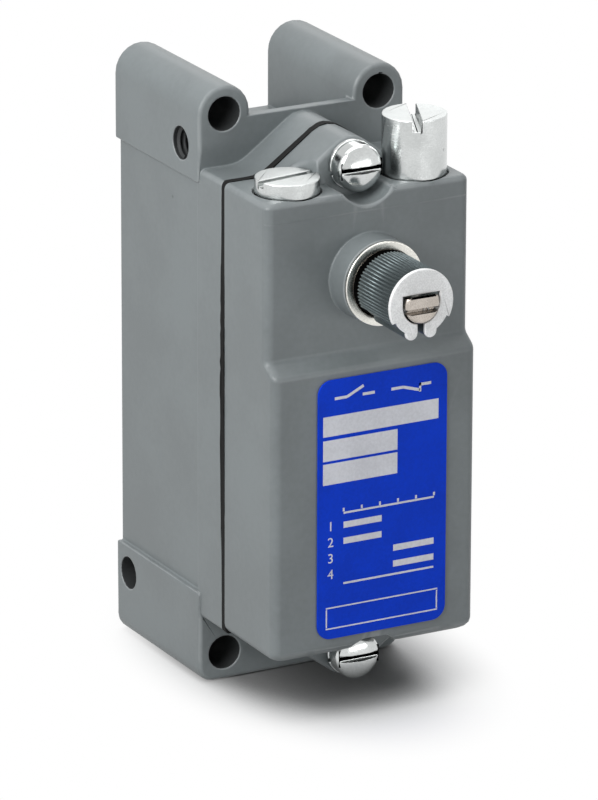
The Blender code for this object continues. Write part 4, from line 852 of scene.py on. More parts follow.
def machined(name, colour, roughness, centre, along, specks=0.02):
    """Turned and plated metal, with tool lines about the axis through a centre."""
    material, tree, shader, place = new_material(name)
    inputs = {0: place, 1: tuple(centre)}
    shifted = add(tree, "ShaderNodeVectorMath", inputs, operation="SUBTRACT").outputs[0]
    turn = Vector(along).rotation_difference(Vector(UPWARD)).to_euler()
    about = add(tree, "ShaderNodeMapping", {"Vector": shifted, "Rotation": turn}).outputs[0]
    tool = effect(tree, "lathe", about, Scale=9000.0)
    tone = effect(tree, "tone", place, Scale=170.0, Fine=0.35)
    worn_and_highlighted = effect(tree, "wear_and_highlight", place, Edge=edge_value(tree), Amount=0.5, Scale=700.0)
    spots = effect(tree, "specks", place, Scale=420.0, Share=specks, Size=0.22)
    shade = mix_colour(tree, ramp(tree, tone, 0.3, 0.72), tinted(colour, 0.84), colour)
    shade = mix_colour(tree, worn_and_highlighted, shade, tinted(colour, 1.10, 0.96))
    shade = mix_colour(tree, times(tree, spots, 0.7), shade, tinted(colour, 0.42))
    streak = ramp(tree, tool, 0.2, 0.8, roughness * 0.8, roughness * 1.25)
    rough = maths(tree, "ADD", streak, ramp(tree, tone, 0.3, 0.7, -0.03, 0.05))
    set_inputs(tree, shader, {"Base Color": shade, "Roughness": rough, "Metallic": 1.0})
    set_bump(tree, shader, maths(tree, "SUBTRACT", tool, spots), distance=0.000004)
    return material


def uneven(tree, tone, roughness):
    """A roughness that drifts with a surface's tone."""
    return ramp(tree, tone, 0.3, 0.7, roughness * 0.85, roughness * 1.15)


def cast_zinc(name, colour, roughness, metallic):
    """Bare cast zinc: mottled and dull, brighter along its outer edges."""
    material, tree, shader, place = new_material(name)
    tone = effect(tree, "tone", place, Scale=220.0, Fine=0.5)
    worn_and_highlighted = effect(tree, "wear_and_highlight", place, Edge=edge_value(tree), Amount=0.6, Scale=900.0)
    pits = effect(tree, "specks", place, Scale=900.0, Share=0.12, Size=0.35)
    shade = mix_colour(tree, ramp(tree, tone, 0.32, 0.68), tinted(colour, 0.72), colour)
    shade = mix_colour(tree, worn_and_highlighted, shade, tinted(colour, 1.6, 0.9))
    rough = uneven(tree, tone, roughness)
    set_inputs(tree, shader, {"Base Color": shade, "Roughness": rough, "Metallic": metallic})
    relief = maths(tree, "SUBTRACT", tone, pits)
    set_bump(tree, shader, relief, distance=0.00003, strength=0.6)
    return material


def rubber(name, colour):
    """Black rubber with a dusty bloom."""
    material, tree, shader, place = new_material(name)
    tone = effect(tree, "tone", place, Scale=260.0, Fine=0.5)
    dust = effect(tree, "specks", place, Scale=700.0, Share=0.05, Size=0.3)
    shade = mix_colour(tree, ramp(tree, tone, 0.35, 0.75), colour, tinted(colour, 1.8))
    shade = mix_colour(tree, times(tree, dust, 0.6), shade, (0.06, 0.06, 0.06, 1.0))
    rough = ramp(tree, tone, 0.3, 0.7, 0.72, 0.9)
    set_inputs(tree, shader, {"Base Color": shade, "Roughness": rough, "Specular IOR Level": 0.2})
    set_bump(tree, shader, tone, distance=0.00004, strength=0.5)
    return material


def moulded(name, colour, roughness=0.5):
    """Moulded resin with a faint flow pattern."""
    material, tree, shader, place = new_material(name)
    tone = effect(tree, "tone", place, Scale=130.0, Fine=0.35)
    shade = mix_colour(tree, ramp(tree, tone, 0.3, 0.7), tinted(colour, 0.8), colour)
    set_inputs(tree, shader, {"Base Color": shade, "Roughness": uneven(tree, tone, roughness)})
    set_bump(tree, shader, tone, distance=0.00002, strength=0.5)
    return material


def print_ground(name, colour):
    """Screen-printed plate: even colour under a thin lacquer, with dust."""
    material, tree, shader, place = new_material(name)
    tone = effect(tree, "tone", place, Scale=120.0, Fine=0.4)
    dust = effect(tree, "specks", place, Scale=640.0, Share=0.02, Size=0.2)
    dusty = [channel * 0.7 + 0.15 for channel in colour[:3]] + [1.0]
    drifts = ramp(tree, tone, 0.3, 0.7)
    shade = mix_colour(tree, drifts, tinted(colour, 0.9), tinted(colour, 1.08, 0.95))
    shade = mix_colour(tree, times(tree, dust, 0.35), shade, dusty)
    rough = ramp(tree, tone, 0.3, 0.7, 0.34, 0.44)
    set_inputs(tree, shader, {"Base Color": shade, "Roughness": rough, "Specular IOR Level": 0.12})
    set_bump(tree, shader, grain(tree, place, 1500.0, 1.0), distance=0.00001, strength=0.4)
    return material


# Castings


def bolt_holes():
    """The name, middle, axis and radius of each bolt hole, from the box that each one clears."""
    found = []
    for name, (low, high) in OPENINGS.items():
        if "hole" in name:
            axis = 0 if "side" in name else 1
            middle = (Vector(low) + Vector(high)) / 2
            found.append((name, middle, axis, (high[2] - low[2]) / math.sqrt(2)))
    return found


BOLT_HOLES = bolt_holes()


def hole_span(point, reach):
    """True within a share of a bolt hole's radius from its axis."""
    for _, middle, axis, radius in BOLT_HOLES:
        gap = point - middle
        gap[axis] = 0
        if gap.length < radius * reach:
            return True
    return False


def screw_channels():
    """The axis, radius and rear end of the two channels that clear the cover screws' heads."""
    found = []
    for word in ("top", "bottom"):
        low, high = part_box(f"cover_screw_{word}")
        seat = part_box(f"lock_washer_{word}")[1].y
        reach = (high.x - low.x) * CHANNEL_SHARE
        found.append(((low + high) / 2, reach, seat - 2 * CHANNEL_SLACK))
    return found


def on_channel(edge, channels):
    """True for an outer edge of one of the channels."""
    for axis, reach, rear in channels:
        spans = [math.hypot(vert.co.x - axis.x, vert.co.z - axis.z) for vert in edge.verts]
        in_front = min(vert.co.y for vert in edge.verts) < rear
        if in_front and edge.is_convex and all(abs(span - reach) < CHANNEL_SLACK for span in spans):
            return True
    return False


def casting_ease(look, seam_y, channels=()):
    """The rounding of each edge of a casting whose joint face is at seam_y."""

    def width(edge):
        middle = (edge.verts[0].co + edge.verts[1].co) / 2
        if all(abs(vert.co.y - seam_y) < look.seam_edge for vert in edge.verts):
            return look.seam_edge
        if on_channel(edge, channels):
            return 0.0
        small = hole_span(middle, HOLE_RIM) or not edge.is_convex
        return min(look.hole_edge if small else look.edge, clearance(edge) * EASE_SHARE)

    return width


def thread(radius, pitch, depth, low, high):
    """A thread's ridge inside a bore along Z, sunk a little into the bore's wall."""
    turns = max(1, math.floor((high - low) / pitch) - 1)
    middle = low + pitch / 2
    root, crest = 0.42 * pitch, 0.08 * pitch
    wall, tip = radius + depth * 0.2, radius - depth
    corners = [(wall, -root), (tip, -crest), (tip, crest), (wall, root)]
    section = [(r, middle + z) for r, z in corners]
    return swept(section, math.tau * turns, SMALL_STEPS * turns, pitch / SMALL_STEPS)


class LIMITSWITCH_OT_base(bpy.types.Operator):
    """Make the painted rear casting and the threads in its holes"""

    bl_idname = "limit_switch.base"
    bl_label = "Base Casting"

    bare_metal = (0.42, 0.44, 0.45, 1.0)
    entry_slack = 0.00014
    # The side threads' depth, start and end, in pitches
    side_depth, side_start, side_end = 0.45, 0.5, 7

    def execute(self, context):
        look = context.scene.limit_switch.casting
        low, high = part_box("base_housing")
        paint = enamel("base_enamel", look.paint, look.thin_paint_and_highlight)
        # Painted shade: the faces inside the bolt holes, and the side threads below, take the
        # nearly black bore finish.
        bore_painted_shade = moulded("bore_painted_shade_finish", look.bore, 0.6)
        body = eased(spoked_copy("base_housing"), casting_ease(look, low.y))
        for face in body.faces:
            face.material_index = int(hole_span(face.calc_center_median(), HOLE_WALL))
        finishes = [paint, bore_painted_shade]
        piece("base_casting", body, "housing", finishes, ["base_housing"])
        self.conduit_thread(low.z, look)
        for name, middle, axis, radius in BOLT_HOLES:
            if axis == 0 and middle.z > 0:
                for word, face_x in (("left", -high.x), ("right", high.x)):
                    place = Matrix.Translation((face_x, middle.y, middle.z))
                    inward = Matrix.Rotation(math.copysign(math.pi / 2, -face_x), 4, "Y")
                    ridge = moved(self.side_thread(radius, look.side_pitch), place @ inward)
                    label = f"{name}_thread_{word}"
                    piece(label, ridge, "housing", [bore_painted_shade])
        return {"FINISHED"}

    def conduit_thread(self, foot, look):
        """The thread in the conduit entry, from the foot up."""
        low, high = (Vector(corner) for corner in OPENINGS["conduit_entry"])
        centre = (low + high) / 2
        bore = (high.x - low.x) / math.sqrt(2) + self.entry_slack
        ridge = thread(bore, look.thread_pitch, look.thread_depth, foot, high.z)
        place = Matrix.Translation((centre.x, centre.y, 0))
        bare = machined("conduit_thread_metal", self.bare_metal, 0.45, centre, UPWARD)
        piece("conduit_thread", moved(ridge, place), "housing", [bare])

    def side_thread(self, radius, pitch):
        """The thread just inside a side hole, along Z from its outer face."""
        start, end = pitch * self.side_start, pitch * self.side_end
        return thread(radius, pitch, pitch * self.side_depth, start, end)


class LIMITSWITCH_OT_cover(bpy.types.Operator):
    """Make the painted front casting"""

    bl_idname = "limit_switch.cover"
    bl_label = "Cover Casting"

    def execute(self, context):
        look = context.scene.limit_switch.casting
        _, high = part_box("front_cover")
        seal_low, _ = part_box("stop_plug_seal")
        line = (seal_low.z - look.line_drop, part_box("nameplate")[1].y + look.line_back)
        paint = enamel("cover_enamel", look.paint, look.thin_paint_and_highlight, line)
        body = spoked_copy("front_cover")
        channels = screw_channels()
        edges = [edge for edge in body.edges if on_channel(edge, channels)]
        rim = [[vert.co.copy() for vert in edge.verts] for edge in edges]
        body = eased(body, casting_ease(look, high.y, channels))
        melt(body, rim, look.channel_edge)
        piece("cover_casting", body, "housing", [paint], ["front_cover"])
        return {"FINISHED"}


class LIMITSWITCH_OT_gasket(bpy.types.Operator):
    """Make the rubber sheet between the castings, with its knife-cut edge"""

    bl_idname = "limit_switch.gasket"
    bl_label = "Gasket"

    step = 0.0015
    bead_drift, bead_scale = 0.6, 500
    ragged_scale = 700

    def execute(self, context):
        look = context.scene.limit_switch.casting
        low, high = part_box("cover_gasket")
        middle = (low.y + high.y) / 2
        bm = merged_copy("cover_gasket")
        for edge in [edge for edge in bm.edges if edge.calc_length() > self.step]:
            cuts = int(edge.calc_length() / self.step)
            bmesh.ops.subdivide_edges(bm, edges=[edge], cuts=cuts)
        bm.normal_update()
        rim = {vert for face in bm.faces if self.faces_out(face) for vert in face.verts}
        for vert in bm.verts:
            outward = Vector((vert.co.x, 0, vert.co.z)).normalized()
            fill = look.squeeze
            if vert in rim:
                drift = self.bead_drift * noise.noise(vert.co * self.bead_scale)
                fill += look.bead * (1 + drift)
            vert.co.y = middle + (vert.co.y - middle) * fill
            ragged = look.ragged * noise.noise(vert.co * self.ragged_scale)
            vert.co += outward * (look.gasket_rise + ragged)
        sheet = rubber("gasket_rubber", look.rubber)
        piece("gasket_sheet", bm, "housing", [sheet], ["cover_gasket"])
        return {"FINISHED"}

    def faces_out(self, face):
        """True for a face of the sheet's outer edge."""
        middle = face.calc_center_median()
        outward = Vector((middle.x, 0, middle.z))
        return abs(face.normal.y) < 0.5 and face.normal.dot(outward) > 0


# Screws and plugs


class LIMITSWITCH_OT_cover_screws(bpy.types.Operator):
    """Make the two domed cover screws and their split spring washers"""

    bl_idname = "limit_switch.cover_screws"
    bl_label = "Cover Screws"

    shank_share = 0.56
    dome_share = 0.44
    dome_end, dome_steps = math.radians(78), 12
    washer_bore = 0.62
    washer_edge = 0.6
    split_gap, split_turn = math.radians(9), math.radians(200)

    def execute(self, context):
        look = context.scene.limit_switch.metal
        for word in ("top", "bottom"):
            self.screw(word, look)
            self.washer(word, look)
        return {"FINISHED"}

    def screw(self, word, look):
        low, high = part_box(f"cover_screw_{word}")
        washer_low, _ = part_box(f"lock_washer_{word}")
        centre = (low + high) / 2
        head = (high.x - low.x) / 2
        shank = head * self.shank_share
        seat = washer_low.y - FIT_GAP
        top = seat - low.y
        dome = top * self.dome_share
        profile = [(shank, seat - high.y), (shank, 0), (head, 0)]
        for step in range(self.dome_steps + 1):
            turn = self.dome_end * step / self.dome_steps
            rise = math.sin(turn) / math.sin(self.dome_end)
            profile.append((head * math.cos(turn), top - dome + dome * rise))
        half = look.cover_slot / 2
        floor = top - look.cover_slot_depth
        bm = cut(turned(profile), block((-head * 2, -half, floor), (head * 2, half, top * 2)))
        bm = moved(eased(bm, look.edge), facing_front(centre.x, seat, centre.z))
        axis = (centre.x, seat, centre.z)
        metal = machined(f"screw_{word}_plate", look.zinc_plate, 0.16, axis, FORWARD)
        nodes = [f"cover_screw_{word}"]
        piece(f"screw_{word}", bm, "housing", [metal], nodes)

    def washer(self, word, look):
        low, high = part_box(f"lock_washer_{word}")
        centre = (low + high) / 2
        outer = (high.x - low.x) / 2
        inner = outer * self.washer_bore
        section = bar(inner, outer, 0, high.y - low.y)
        bm = swept(section, math.tau - self.split_gap, ROUND_STEPS)
        bm = eased(bm, look.edge * self.washer_edge)
        split = Matrix.Rotation(self.split_turn, 4, "Z")
        bm = moved(bm, facing_front(centre.x, high.y, centre.z) @ split)
        metal = machined(f"washer_{word}_plate", look.zinc_plate, 0.2, centre, FORWARD)
        nodes = [f"lock_washer_{word}"]
        piece(f"spring_washer_{word}", bm, "housing", [metal], nodes)


class LIMITSWITCH_OT_plugs(bpy.types.Operator):
    """Make the low stop plug, the tall spring cap and the seal under each"""

    bl_idname = "limit_switch.plugs"
    bl_label = "Plugs"

    # Each slot's width, depth and turn
    stop_slot = (0.0018, 0.0014, math.radians(8))
    cap_slot = (0.0019, 0.0024, math.radians(67))
    slot_band = 0.0005
    shoulder = 0.00135
    seal_width, seal_edge = 0.0012, 0.00015

    def execute(self, context):
        settings = context.scene.limit_switch
        look = settings.metal
        pin_low, pin_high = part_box("stop_pin")
        bore = (pin_high.x - pin_low.x) / 2 + FIT_GAP
        self.plug("stop_plug", look, bore, pin_high.z + FIT_GAP, self.stop_slot)
        plunger_low, plunger_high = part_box("return_plunger")
        bore = (plunger_high.x - plunger_low.x) / 2 + FIT_GAP
        _, spring_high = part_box("return_spring")
        self.plug("spring_cap", look, bore, spring_high.z + FIT_GAP, self.cap_slot)
        for word in ("stop_plug", "spring_cap"):
            self.seal(word, settings.casting)
        return {"FINISHED"}

    def plug(self, word, look, bore, bore_top, slot):
        low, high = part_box(word)
        _, seal_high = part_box(f"{word}_seal")
        centre = (low + high) / 2
        head = (high.x - low.x) / 2
        neck = head - self.shoulder
        seat = seal_high.z + FIT_GAP
        profile = [
            (bore, bore_top),
            (bore, low.z),
            (neck, low.z),
            (neck, seat),
            (head, seat),
            (head, high.z),
        ]
        width, depth, turn = slot
        half, floor = width / 2, high.z - depth
        cutter = block((-head * 2, -half, floor), (head * 2, half, high.z + depth))
        bm = cut(turned(profile), moved(cutter, Matrix.Rotation(turn, 4, "Z")))
        geom = [*bm.verts, *bm.edges, *bm.faces]
        ring = (0, 0, floor - self.slot_band)
        bmesh.ops.bisect_plane(bm, geom=geom, plane_co=ring, plane_no=UPWARD)
        bm = eased(bm, look.edge)
        for face in bm.faces:
            face.material_index = int(face.normal.z > 0.9)
        axis = (centre.x, centre.y, 0)
        side = machined(f"{word}_plate", look.zinc_plate, 0.20, axis, UPWARD)
        end = machined(f"{word}_end_plate", look.end_plate, 0.32, axis, UPWARD)
        bm = moved(bm, Matrix.Translation(axis))
        piece(f"{word}_turned", bm, "housing", [side, end], [word])

    def seal(self, word, look):
        low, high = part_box(f"{word}_seal")
        centre = (low + high) / 2
        outer = (high.x - low.x) / 2
        section = bar(outer - self.seal_width, outer, low.z, high.z)
        bm = eased(turned(section, ring=True), self.seal_edge)
        bm = moved(bm, Matrix.Translation((centre.x, centre.y, 0)))
        sheet = rubber(f"{word}_rubber", look.rubber)
        piece(f"{word}_ring", bm, "housing", [sheet], [f"{word}_seal"])


# Shaft, bush and sleeve


class LIMITSWITCH_OT_bush(bpy.types.Operator):
    """Make the bright bush in the cover's boss and the lip seal in it"""

    bl_idname = "limit_switch.bush"
    bl_label = "Bush and Seal"

    wall = 0.00065
    rim_depth = 0.0009
    seal_gap = 0.0002
    # The lip seal's rounded channel, its two lands and its edges
    channel_depth, channel_half = 0.0009, 0.0008
    inner_land, outer_land = 0.0002, 0.0007
    seal_edge = 0.00012

    def execute(self, context):
        settings = context.scene.limit_switch
        look = settings.metal
        low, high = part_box("shaft_bushing")
        seal_low, seal_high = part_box("shaft_seal")
        shaft_low, shaft_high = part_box("operating_shaft")
        rim = (high.x - low.x) / 2
        bore = (shaft_high.x - shaft_low.x) / 2 + FIT_GAP
        recess = (seal_high.x - seal_low.x) / 2 + self.seal_gap
        body = recess + self.wall
        floor = seal_high.y + FIT_GAP - low.y
        length = high.y - low.y
        profile = [
            (bore, floor),
            (recess, floor),
            (recess, 0),
            (rim, 0),
            (rim, self.rim_depth),
            (body, self.rim_depth),
            (body, length),
            (bore, length),
        ]
        inward = Matrix.Rotation(math.radians(-90), 4, "X")
        place = Matrix.Translation((SHAFT_AXIS.x, low.y, SHAFT_AXIS.z)) @ inward
        bm = moved(eased(turned(profile, ring=True), look.edge), place)
        metal = machined("bush_metal", look.bush, 0.24, SHAFT_AXIS, FORWARD, specks=0.05)
        piece("bush", bm, "housing", [metal], ["shaft_bushing"])
        front = seal_low.y - low.y
        back = seal_high.y - low.y
        outer = recess - self.seal_gap
        middle = (outer + bore) / 2
        profile = [
            (bore, back),
            (bore, front + self.inner_land),
            (middle - self.channel_half, front + self.channel_depth),
            (middle + self.channel_half, front + self.channel_depth),
            (outer - self.outer_land, front),
            (outer, front),
            (outer, back),
        ]
        bm = moved(eased(turned(profile, ring=True), self.seal_edge), place)
        sheet = rubber("lip_seal_rubber", settings.casting.rubber)
        piece("lip_seal", bm, "housing", [sheet], ["shaft_seal"])
        return {"FINISHED"}


class LIMITSWITCH_OT_shaft(bpy.types.Operator):
    """Make the hardened shaft with its flat, its slot and its chamfered end"""

    bl_idname = "limit_switch.shaft"
    bl_label = "Shaft"

    chamfer = 0.0005
    screw_bore, bore_spare = 0.0016, 0.0003
    flat, flat_length = 0.0017, 0.0150
    slot_drop, slot_half, slot_depth = 0.0012, 0.00055, 0.0018

    def execute(self, context):
        look = context.scene.limit_switch.metal
        low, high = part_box("operating_shaft")
        screw_low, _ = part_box("crank_screw")
        radius = (high.x - low.x) / 2
        length = high.y - low.y
        profile = [
            (radius - self.chamfer, length),
            (radius, length - self.chamfer),
            (radius, 0),
            (self.screw_bore, 0),
            (self.screw_bore, high.y - screw_low.y + self.bore_spare),
        ]
        reach = radius * 2
        past = length * 2
        bm = turned(profile)
        bm = cut(bm, block((-reach, self.flat, length - self.flat_length), (reach, reach, past)))
        slot_low = (-reach, -self.slot_drop - self.slot_half, length - self.slot_depth)
        slot_high = (reach, self.slot_half - self.slot_drop, past)
        bm = eased(cut(bm, block(slot_low, slot_high)), look.edge * 0.5)
        bm = moved(bm, facing_front(SHAFT_AXIS.x, high.y, SHAFT_AXIS.z))
        metal = machined("shaft_metal", look.steel, 0.26, SHAFT_AXIS, FORWARD, specks=0.06)
        piece("shaft", bm, "shaft", [metal], ["operating_shaft"])
        return {"FINISHED"}


class LIMITSWITCH_OT_sleeve(bpy.types.Operator):
    """Make the toothed sleeve with its plain end land, its prongs and its D-shaped bore"""

    bl_idname = "limit_switch.sleeve"
    bl_label = "Toothed Sleeve"

    relief_angle = math.radians(29)
    relief_depth = 0.0007
    slit = 0.0017
    prong = 0.0028
    land = 0.0007
    bore_gap = 0.00035
    bore_flat = 0.0022
    # Where one tooth leaves its root, and where its crest starts and ends, in pitches
    root_end, crest_start, crest_end = 0.2, 0.45, 0.75
    # The easing of the edges at the front and of the others, in machined edges
    front_ease, side_ease = 1.2, 0.3

    def outline(self, crest, look):
        """The sleeve seen from the front: teeth round the top, plain below, with two prongs."""
        root = crest - look.tooth_depth
        relief = crest - self.relief_depth
        start = -self.relief_angle
        end = math.pi + self.relief_angle
        teeth = round(look.teeth * (end - start) / math.tau)
        pitch = (end - start) / teeth
        corners = (
            (0.0, root),
            (self.root_end, root),
            (self.crest_start, crest),
            (self.crest_end, crest),
        )
        points = []
        for tooth in range(teeth):
            for share, radius in corners:
                angle = start + pitch * (tooth + share)
                points.append((radius * math.cos(angle), radius * math.sin(angle)))
        tip = self.prong / 2
        middle = self.slit / 2 + tip
        prong_turn = math.acos((self.slit / 2 + self.prong) / relief)
        points += arc(relief, end, math.pi + prong_turn, 6)
        points += arc(tip, math.pi, math.tau, 8, (-middle, tip - crest))
        points += [(-self.slit / 2, 0), (self.slit / 2, 0)]
        points += arc(tip, math.pi, math.tau, 8, (middle, tip - crest))
        points += arc(relief, math.tau - prong_turn, math.tau + start, 6)
        return points

    def execute(self, context):
        look = context.scene.limit_switch.metal
        low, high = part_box("serrated_sleeve")
        crest = (high.z - low.z) / 2
        root = crest - look.tooth_depth
        length = high.y - low.y
        bm = bmesh.new()
        face = bm.faces.new([bm.verts.new((x, y, 0)) for x, y in self.outline(crest, look)])
        face = raise_face(bm, face, length - self.land)
        face = raise_face(bm, face, 0)
        for vert in face.verts:
            if abs(vert.co.xy.length - root) < WELD:
                vert.co.xy *= crest / root
        raise_face(bm, face, self.land)
        bmesh.ops.remove_doubles(bm, verts=bm.verts, dist=WELD)
        bmesh.ops.recalc_face_normals(bm, faces=bm.faces)
        shaft_low, shaft_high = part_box("operating_shaft")
        half = (shaft_high.x - shaft_low.x) / 2 + self.bore_gap
        flat_ends = [(half, self.bore_flat), (-half, self.bore_flat)]
        bore = prisms([[*arc(half, math.pi, math.tau, 24), *flat_ends]], length * 2)
        bm = cut(bm, moved(bore, Matrix.Translation((0, 0, -length / 2))))
        front = length - WELD * 10

        def width(edge):
            in_front = all(vert.co.z > front for vert in edge.verts)
            return look.edge * (self.front_ease if in_front else self.side_ease)

        bm = eased(bm, width)
        for face in bm.faces:
            face.material_index = int(face.calc_center_median().z > length - self.land)
        side = cast_zinc("sleeve_cast", look.sleeve, 0.44, 0.8)
        end = cast_zinc("sleeve_raw_end", look.raw_face, 0.55, 0.3)
        bm = moved(bm, facing_front(SHAFT_AXIS.x, high.y, SHAFT_AXIS.z))
        piece("toothed_sleeve", bm, "shaft", [side, end], ["serrated_sleeve"])
        return {"FINISHED"}


# Nameplate


class LIMITSWITCH_OT_nameplate(bpy.types.Operator):
    """Make the blue plate with its blank white fields and plain marks"""

    bl_idname = "limit_switch.nameplate"
    bl_label = "Nameplate"

    plate_edge = 0.00008
    # The blank fields: inset, widths, and the drop of each one's foot and head from the top
    field_inset, long_field_inset, short_field = 0.0012, 0.0021, 0.0179
    field_drops = ((0.01245, 0.0080), (0.0179, 0.0133), (0.0232, 0.0185))
    # The contact signs: drop, half a line, spacing, ends of the leads, and the blades' rises
    sign_drop, sign_line, sign_spread = 0.0042, 0.00032, 0.0068
    lead_start, lead_end, blade_end = 0.0048, 0.0019, 0.0021
    blade_rises = (0.0019, -0.0012)
    post_end, post_drop = 0.0024, 0.0016
    # The chart: insets, drop, row height, half a line, ticks, bars and numerals
    chart_left, chart_right, chart_drop = 0.0062, 0.0030, 0.0300
    chart_row, chart_line, chart_foot = 0.0036, 0.00022, 4.4
    ticks, tick_rise = 6, 0.0011
    bar_spans = ((0.0, 0.42), (0.0, 0.42), (0.55, 1.0), (0.55, 1.0))
    bar_half, row_middle = 0.0007, 0.75
    numeral_inset, numeral_size = 0.0031, 0.0030
    # The frame: inset, base and top from the plate's foot, and line
    frame_inset, frame_base, frame_top, frame_line = 0.0020, 0.0022, 0.0072, 0.0003

    def execute(self, context):
        look = context.scene.limit_switch.plate
        low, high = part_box("nameplate")
        outline = rounded_rectangle(low.x, high.x, low.z, high.z, look.corner)
        bm = eased(prisms([outline], high.y - low.y), self.plate_edge)
        bm = moved(bm, facing_front(0, high.y, 0))
        ground = print_ground("plate_blue", look.blue)
        piece("name_plate", bm, "housing", [ground], ["nameplate"])
        self.face = low.y
        self.ink = look.ink
        white = print_ground("plate_white", look.white)
        self.fields(low, high, white)
        self.contact_signs(low, high, white)
        self.travel_chart(low, high, white)
        self.foot_frame(low, high, white)
        return {"FINISHED"}

    def printed(self, name, shapes, material):
        """Ink laid on the plate: a few flat outlines raised by its thickness."""
        bm = moved(prisms(shapes, self.ink), facing_front(0, self.face, 0))
        piece(name, bm, "housing", [material])

    def fields(self, low, high, material):
        """Three blank white fields, one under the other."""
        left = low.x + self.field_inset
        short = left + self.short_field
        rights = (high.x - self.long_field_inset, short, short)
        rows = zip(rights, self.field_drops)
        shapes = [bar(left, right, high.z - foot, high.z - head) for right, (foot, head) in rows]
        self.printed("plate_fields", shapes, material)

    def contact_signs(self, low, high, material):
        """The signs of an open and a closed contact, side by side along the top."""
        middle, level, line = (low.x + high.x) / 2, high.z - self.sign_drop, self.sign_line
        start, end = self.lead_start, self.lead_end
        shapes = []
        for side, rise in zip((-1, 1), self.blade_rises):
            centre = middle + side * self.sign_spread
            shapes.append(bar(centre - start, centre - end, level - line, level + line))
            shapes.append(bar(centre + end, centre + start, level - line, level + line))
            blade = (centre - end, level), (centre + self.blade_end, level + rise)
            shapes.append(stroke(*blade, line * 2))
        post = bar(centre + end, centre + self.post_end, level - self.post_drop, level + line)
        self.printed("plate_contact_signs", [*shapes, post], material)

    def travel_chart(self, low, high, material):
        """A plain chart: one bar for each contact against a scale of turn with ticks."""
        left, right = low.x + self.chart_left, high.x - self.chart_right
        width = right - left
        top, row, line = high.z - self.chart_drop, self.chart_row, self.chart_line
        shapes = [bar(left, right, top - line, top + line)]
        for tick in range(self.ticks):
            place = left + width * tick / (self.ticks - 1)
            shapes.append(bar(place - line, place + line, top + line * 1.5, top + self.tick_rise))
        levels = [top - row * (index + self.row_middle) for index in range(len(self.bar_spans))]
        for level, (start, end) in zip(levels, self.bar_spans):
            ends = left + width * start, left + width * end
            shapes.append(bar(*ends, level - self.bar_half, level + self.bar_half))
        foot = top - row * self.chart_foot
        shapes.append(bar(left, right, foot - line, foot + line))
        self.printed("plate_chart", shapes, material)
        for index, level in enumerate(levels):
            self.number(str(index + 1), low.x + self.numeral_inset, level, material)

    def foot_frame(self, low, high, material):
        """A bare frame along the foot of the plate."""
        left, right = low.x + self.frame_inset, high.x - self.frame_inset
        base, top, line = low.z + self.frame_base, low.z + self.frame_top, self.frame_line
        shapes = [
            bar(left, right, base, base + line),
            bar(left, right, top - line, top),
            bar(left, left + line, base + line * 1.5, top - line * 1.5),
            bar(right - line, right, base + line * 1.5, top - line * 1.5),
        ]
        self.printed("plate_frame", shapes, material)

    def number(self, text, x, z, material):
        """One plain numeral, printed with its middle at a place."""
        curve = bpy.data.curves.new("numeral", "FONT")
        curve.body = text
        curve.size = self.numeral_size
        curve.align_x = "CENTER"
        curve.align_y = "CENTER"
        curve.extrude = self.ink / 2
        holder = bpy.data.objects.new("numeral", curve)
        bpy.context.scene.collection.objects.link(holder)
        graph = bpy.context.evaluated_depsgraph_get()
        bm = bmesh.new()
        bm.from_mesh(bpy.data.meshes.new_from_object(holder.evaluated_get(graph)))
        bpy.data.objects.remove(holder)
        bmesh.ops.remove_doubles(bm, verts=bm.verts, dist=WELD)
        bm = moved(bm, facing_front(x, self.face - self.ink / 2, z))
        piece(f"plate_number_{text}", bm, "housing", [material])


# Inner pieces


class LIMITSWITCH_OT_springs(bpy.types.Operator):
    """Make the two springs as plain copies of their coils, which do not shorten as their sliders
    move
    """

    bl_idname = "limit_switch.springs"
    bl_label = "Springs"

    def execute(self, context):
        look = context.scene.limit_switch.metal
        joints = {joint["name"]: joint for joint in frame["record"]["behaviour"]["joints"]}
        for name in ("plunger_lift", "carriage_travel"):
            joint = joints[name]
            shortened = joint["deforming_nodes"][0]
            node, fixed_end = shortened["node"], shortened["fixed_end_z_m"]
            low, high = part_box(node)
            middle = (low + high) / 2
            wire = machined(f"{node}_wire", look.spring, 0.34, middle, UPWARD)
            bm = merged_copy(node)
            coil = piece(f"{node}_coil", bm, "housing", [wire], [node])
            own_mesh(coil)
        return {"FINISHED"}


class LIMITSWITCH_OT_inner_pieces(bpy.types.Operator):
    """Finish the pieces inside, which keep their own solids"""

    bl_idname = "limit_switch.inner_pieces"
    bl_label = "Inner Pieces"

    black_resin = (0.022, 0.022, 0.024, 1.0)
    tan_resin = (0.36, 0.24, 0.13, 1.0)
    brass = (0.68, 0.50, 0.20, 1.0)
    green = (0.04, 0.22, 0.08, 1.0)

    def execute(self, context):
        look = context.scene.limit_switch.metal
        origin = (0, 0, 0)
        # Each slot's finish, its colour and roughness, and for metal its axis
        finishes = {
            "plated_steel": (machined, look.zinc_plate, 0.3, origin, FORWARD),
            "shaft_steel": (machined, look.steel, 0.32, SHAFT_AXIS, FORWARD),
            "spring_steel": (machined, look.spring, 0.34, origin, UPWARD),
            "moulded_black": (moulded, self.black_resin, 0.5),
            "moulded_tan": (moulded, self.tan_resin, 0.5),
            "contact_brass": (machined, self.brass, 0.3, origin, UPWARD),
            "ground_green": (moulded, self.green, 0.35),
        }
        slots = {entry["node"]: entry["material_slot"] for entry in frame["record"]["subparts"]}
        stood_for = {node for obj in bpy.data.objects for node in obj.get("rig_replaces", [])}
        for node, obj in frame["nodes"].items():
            if node in stood_for:
                continue
            finish, *values = finishes[slots[node]]
            obj.data.materials.clear()
            obj.data.materials.append(finish(f"{node}_finish", *values))
        return {"FINISHED"}


# Stage


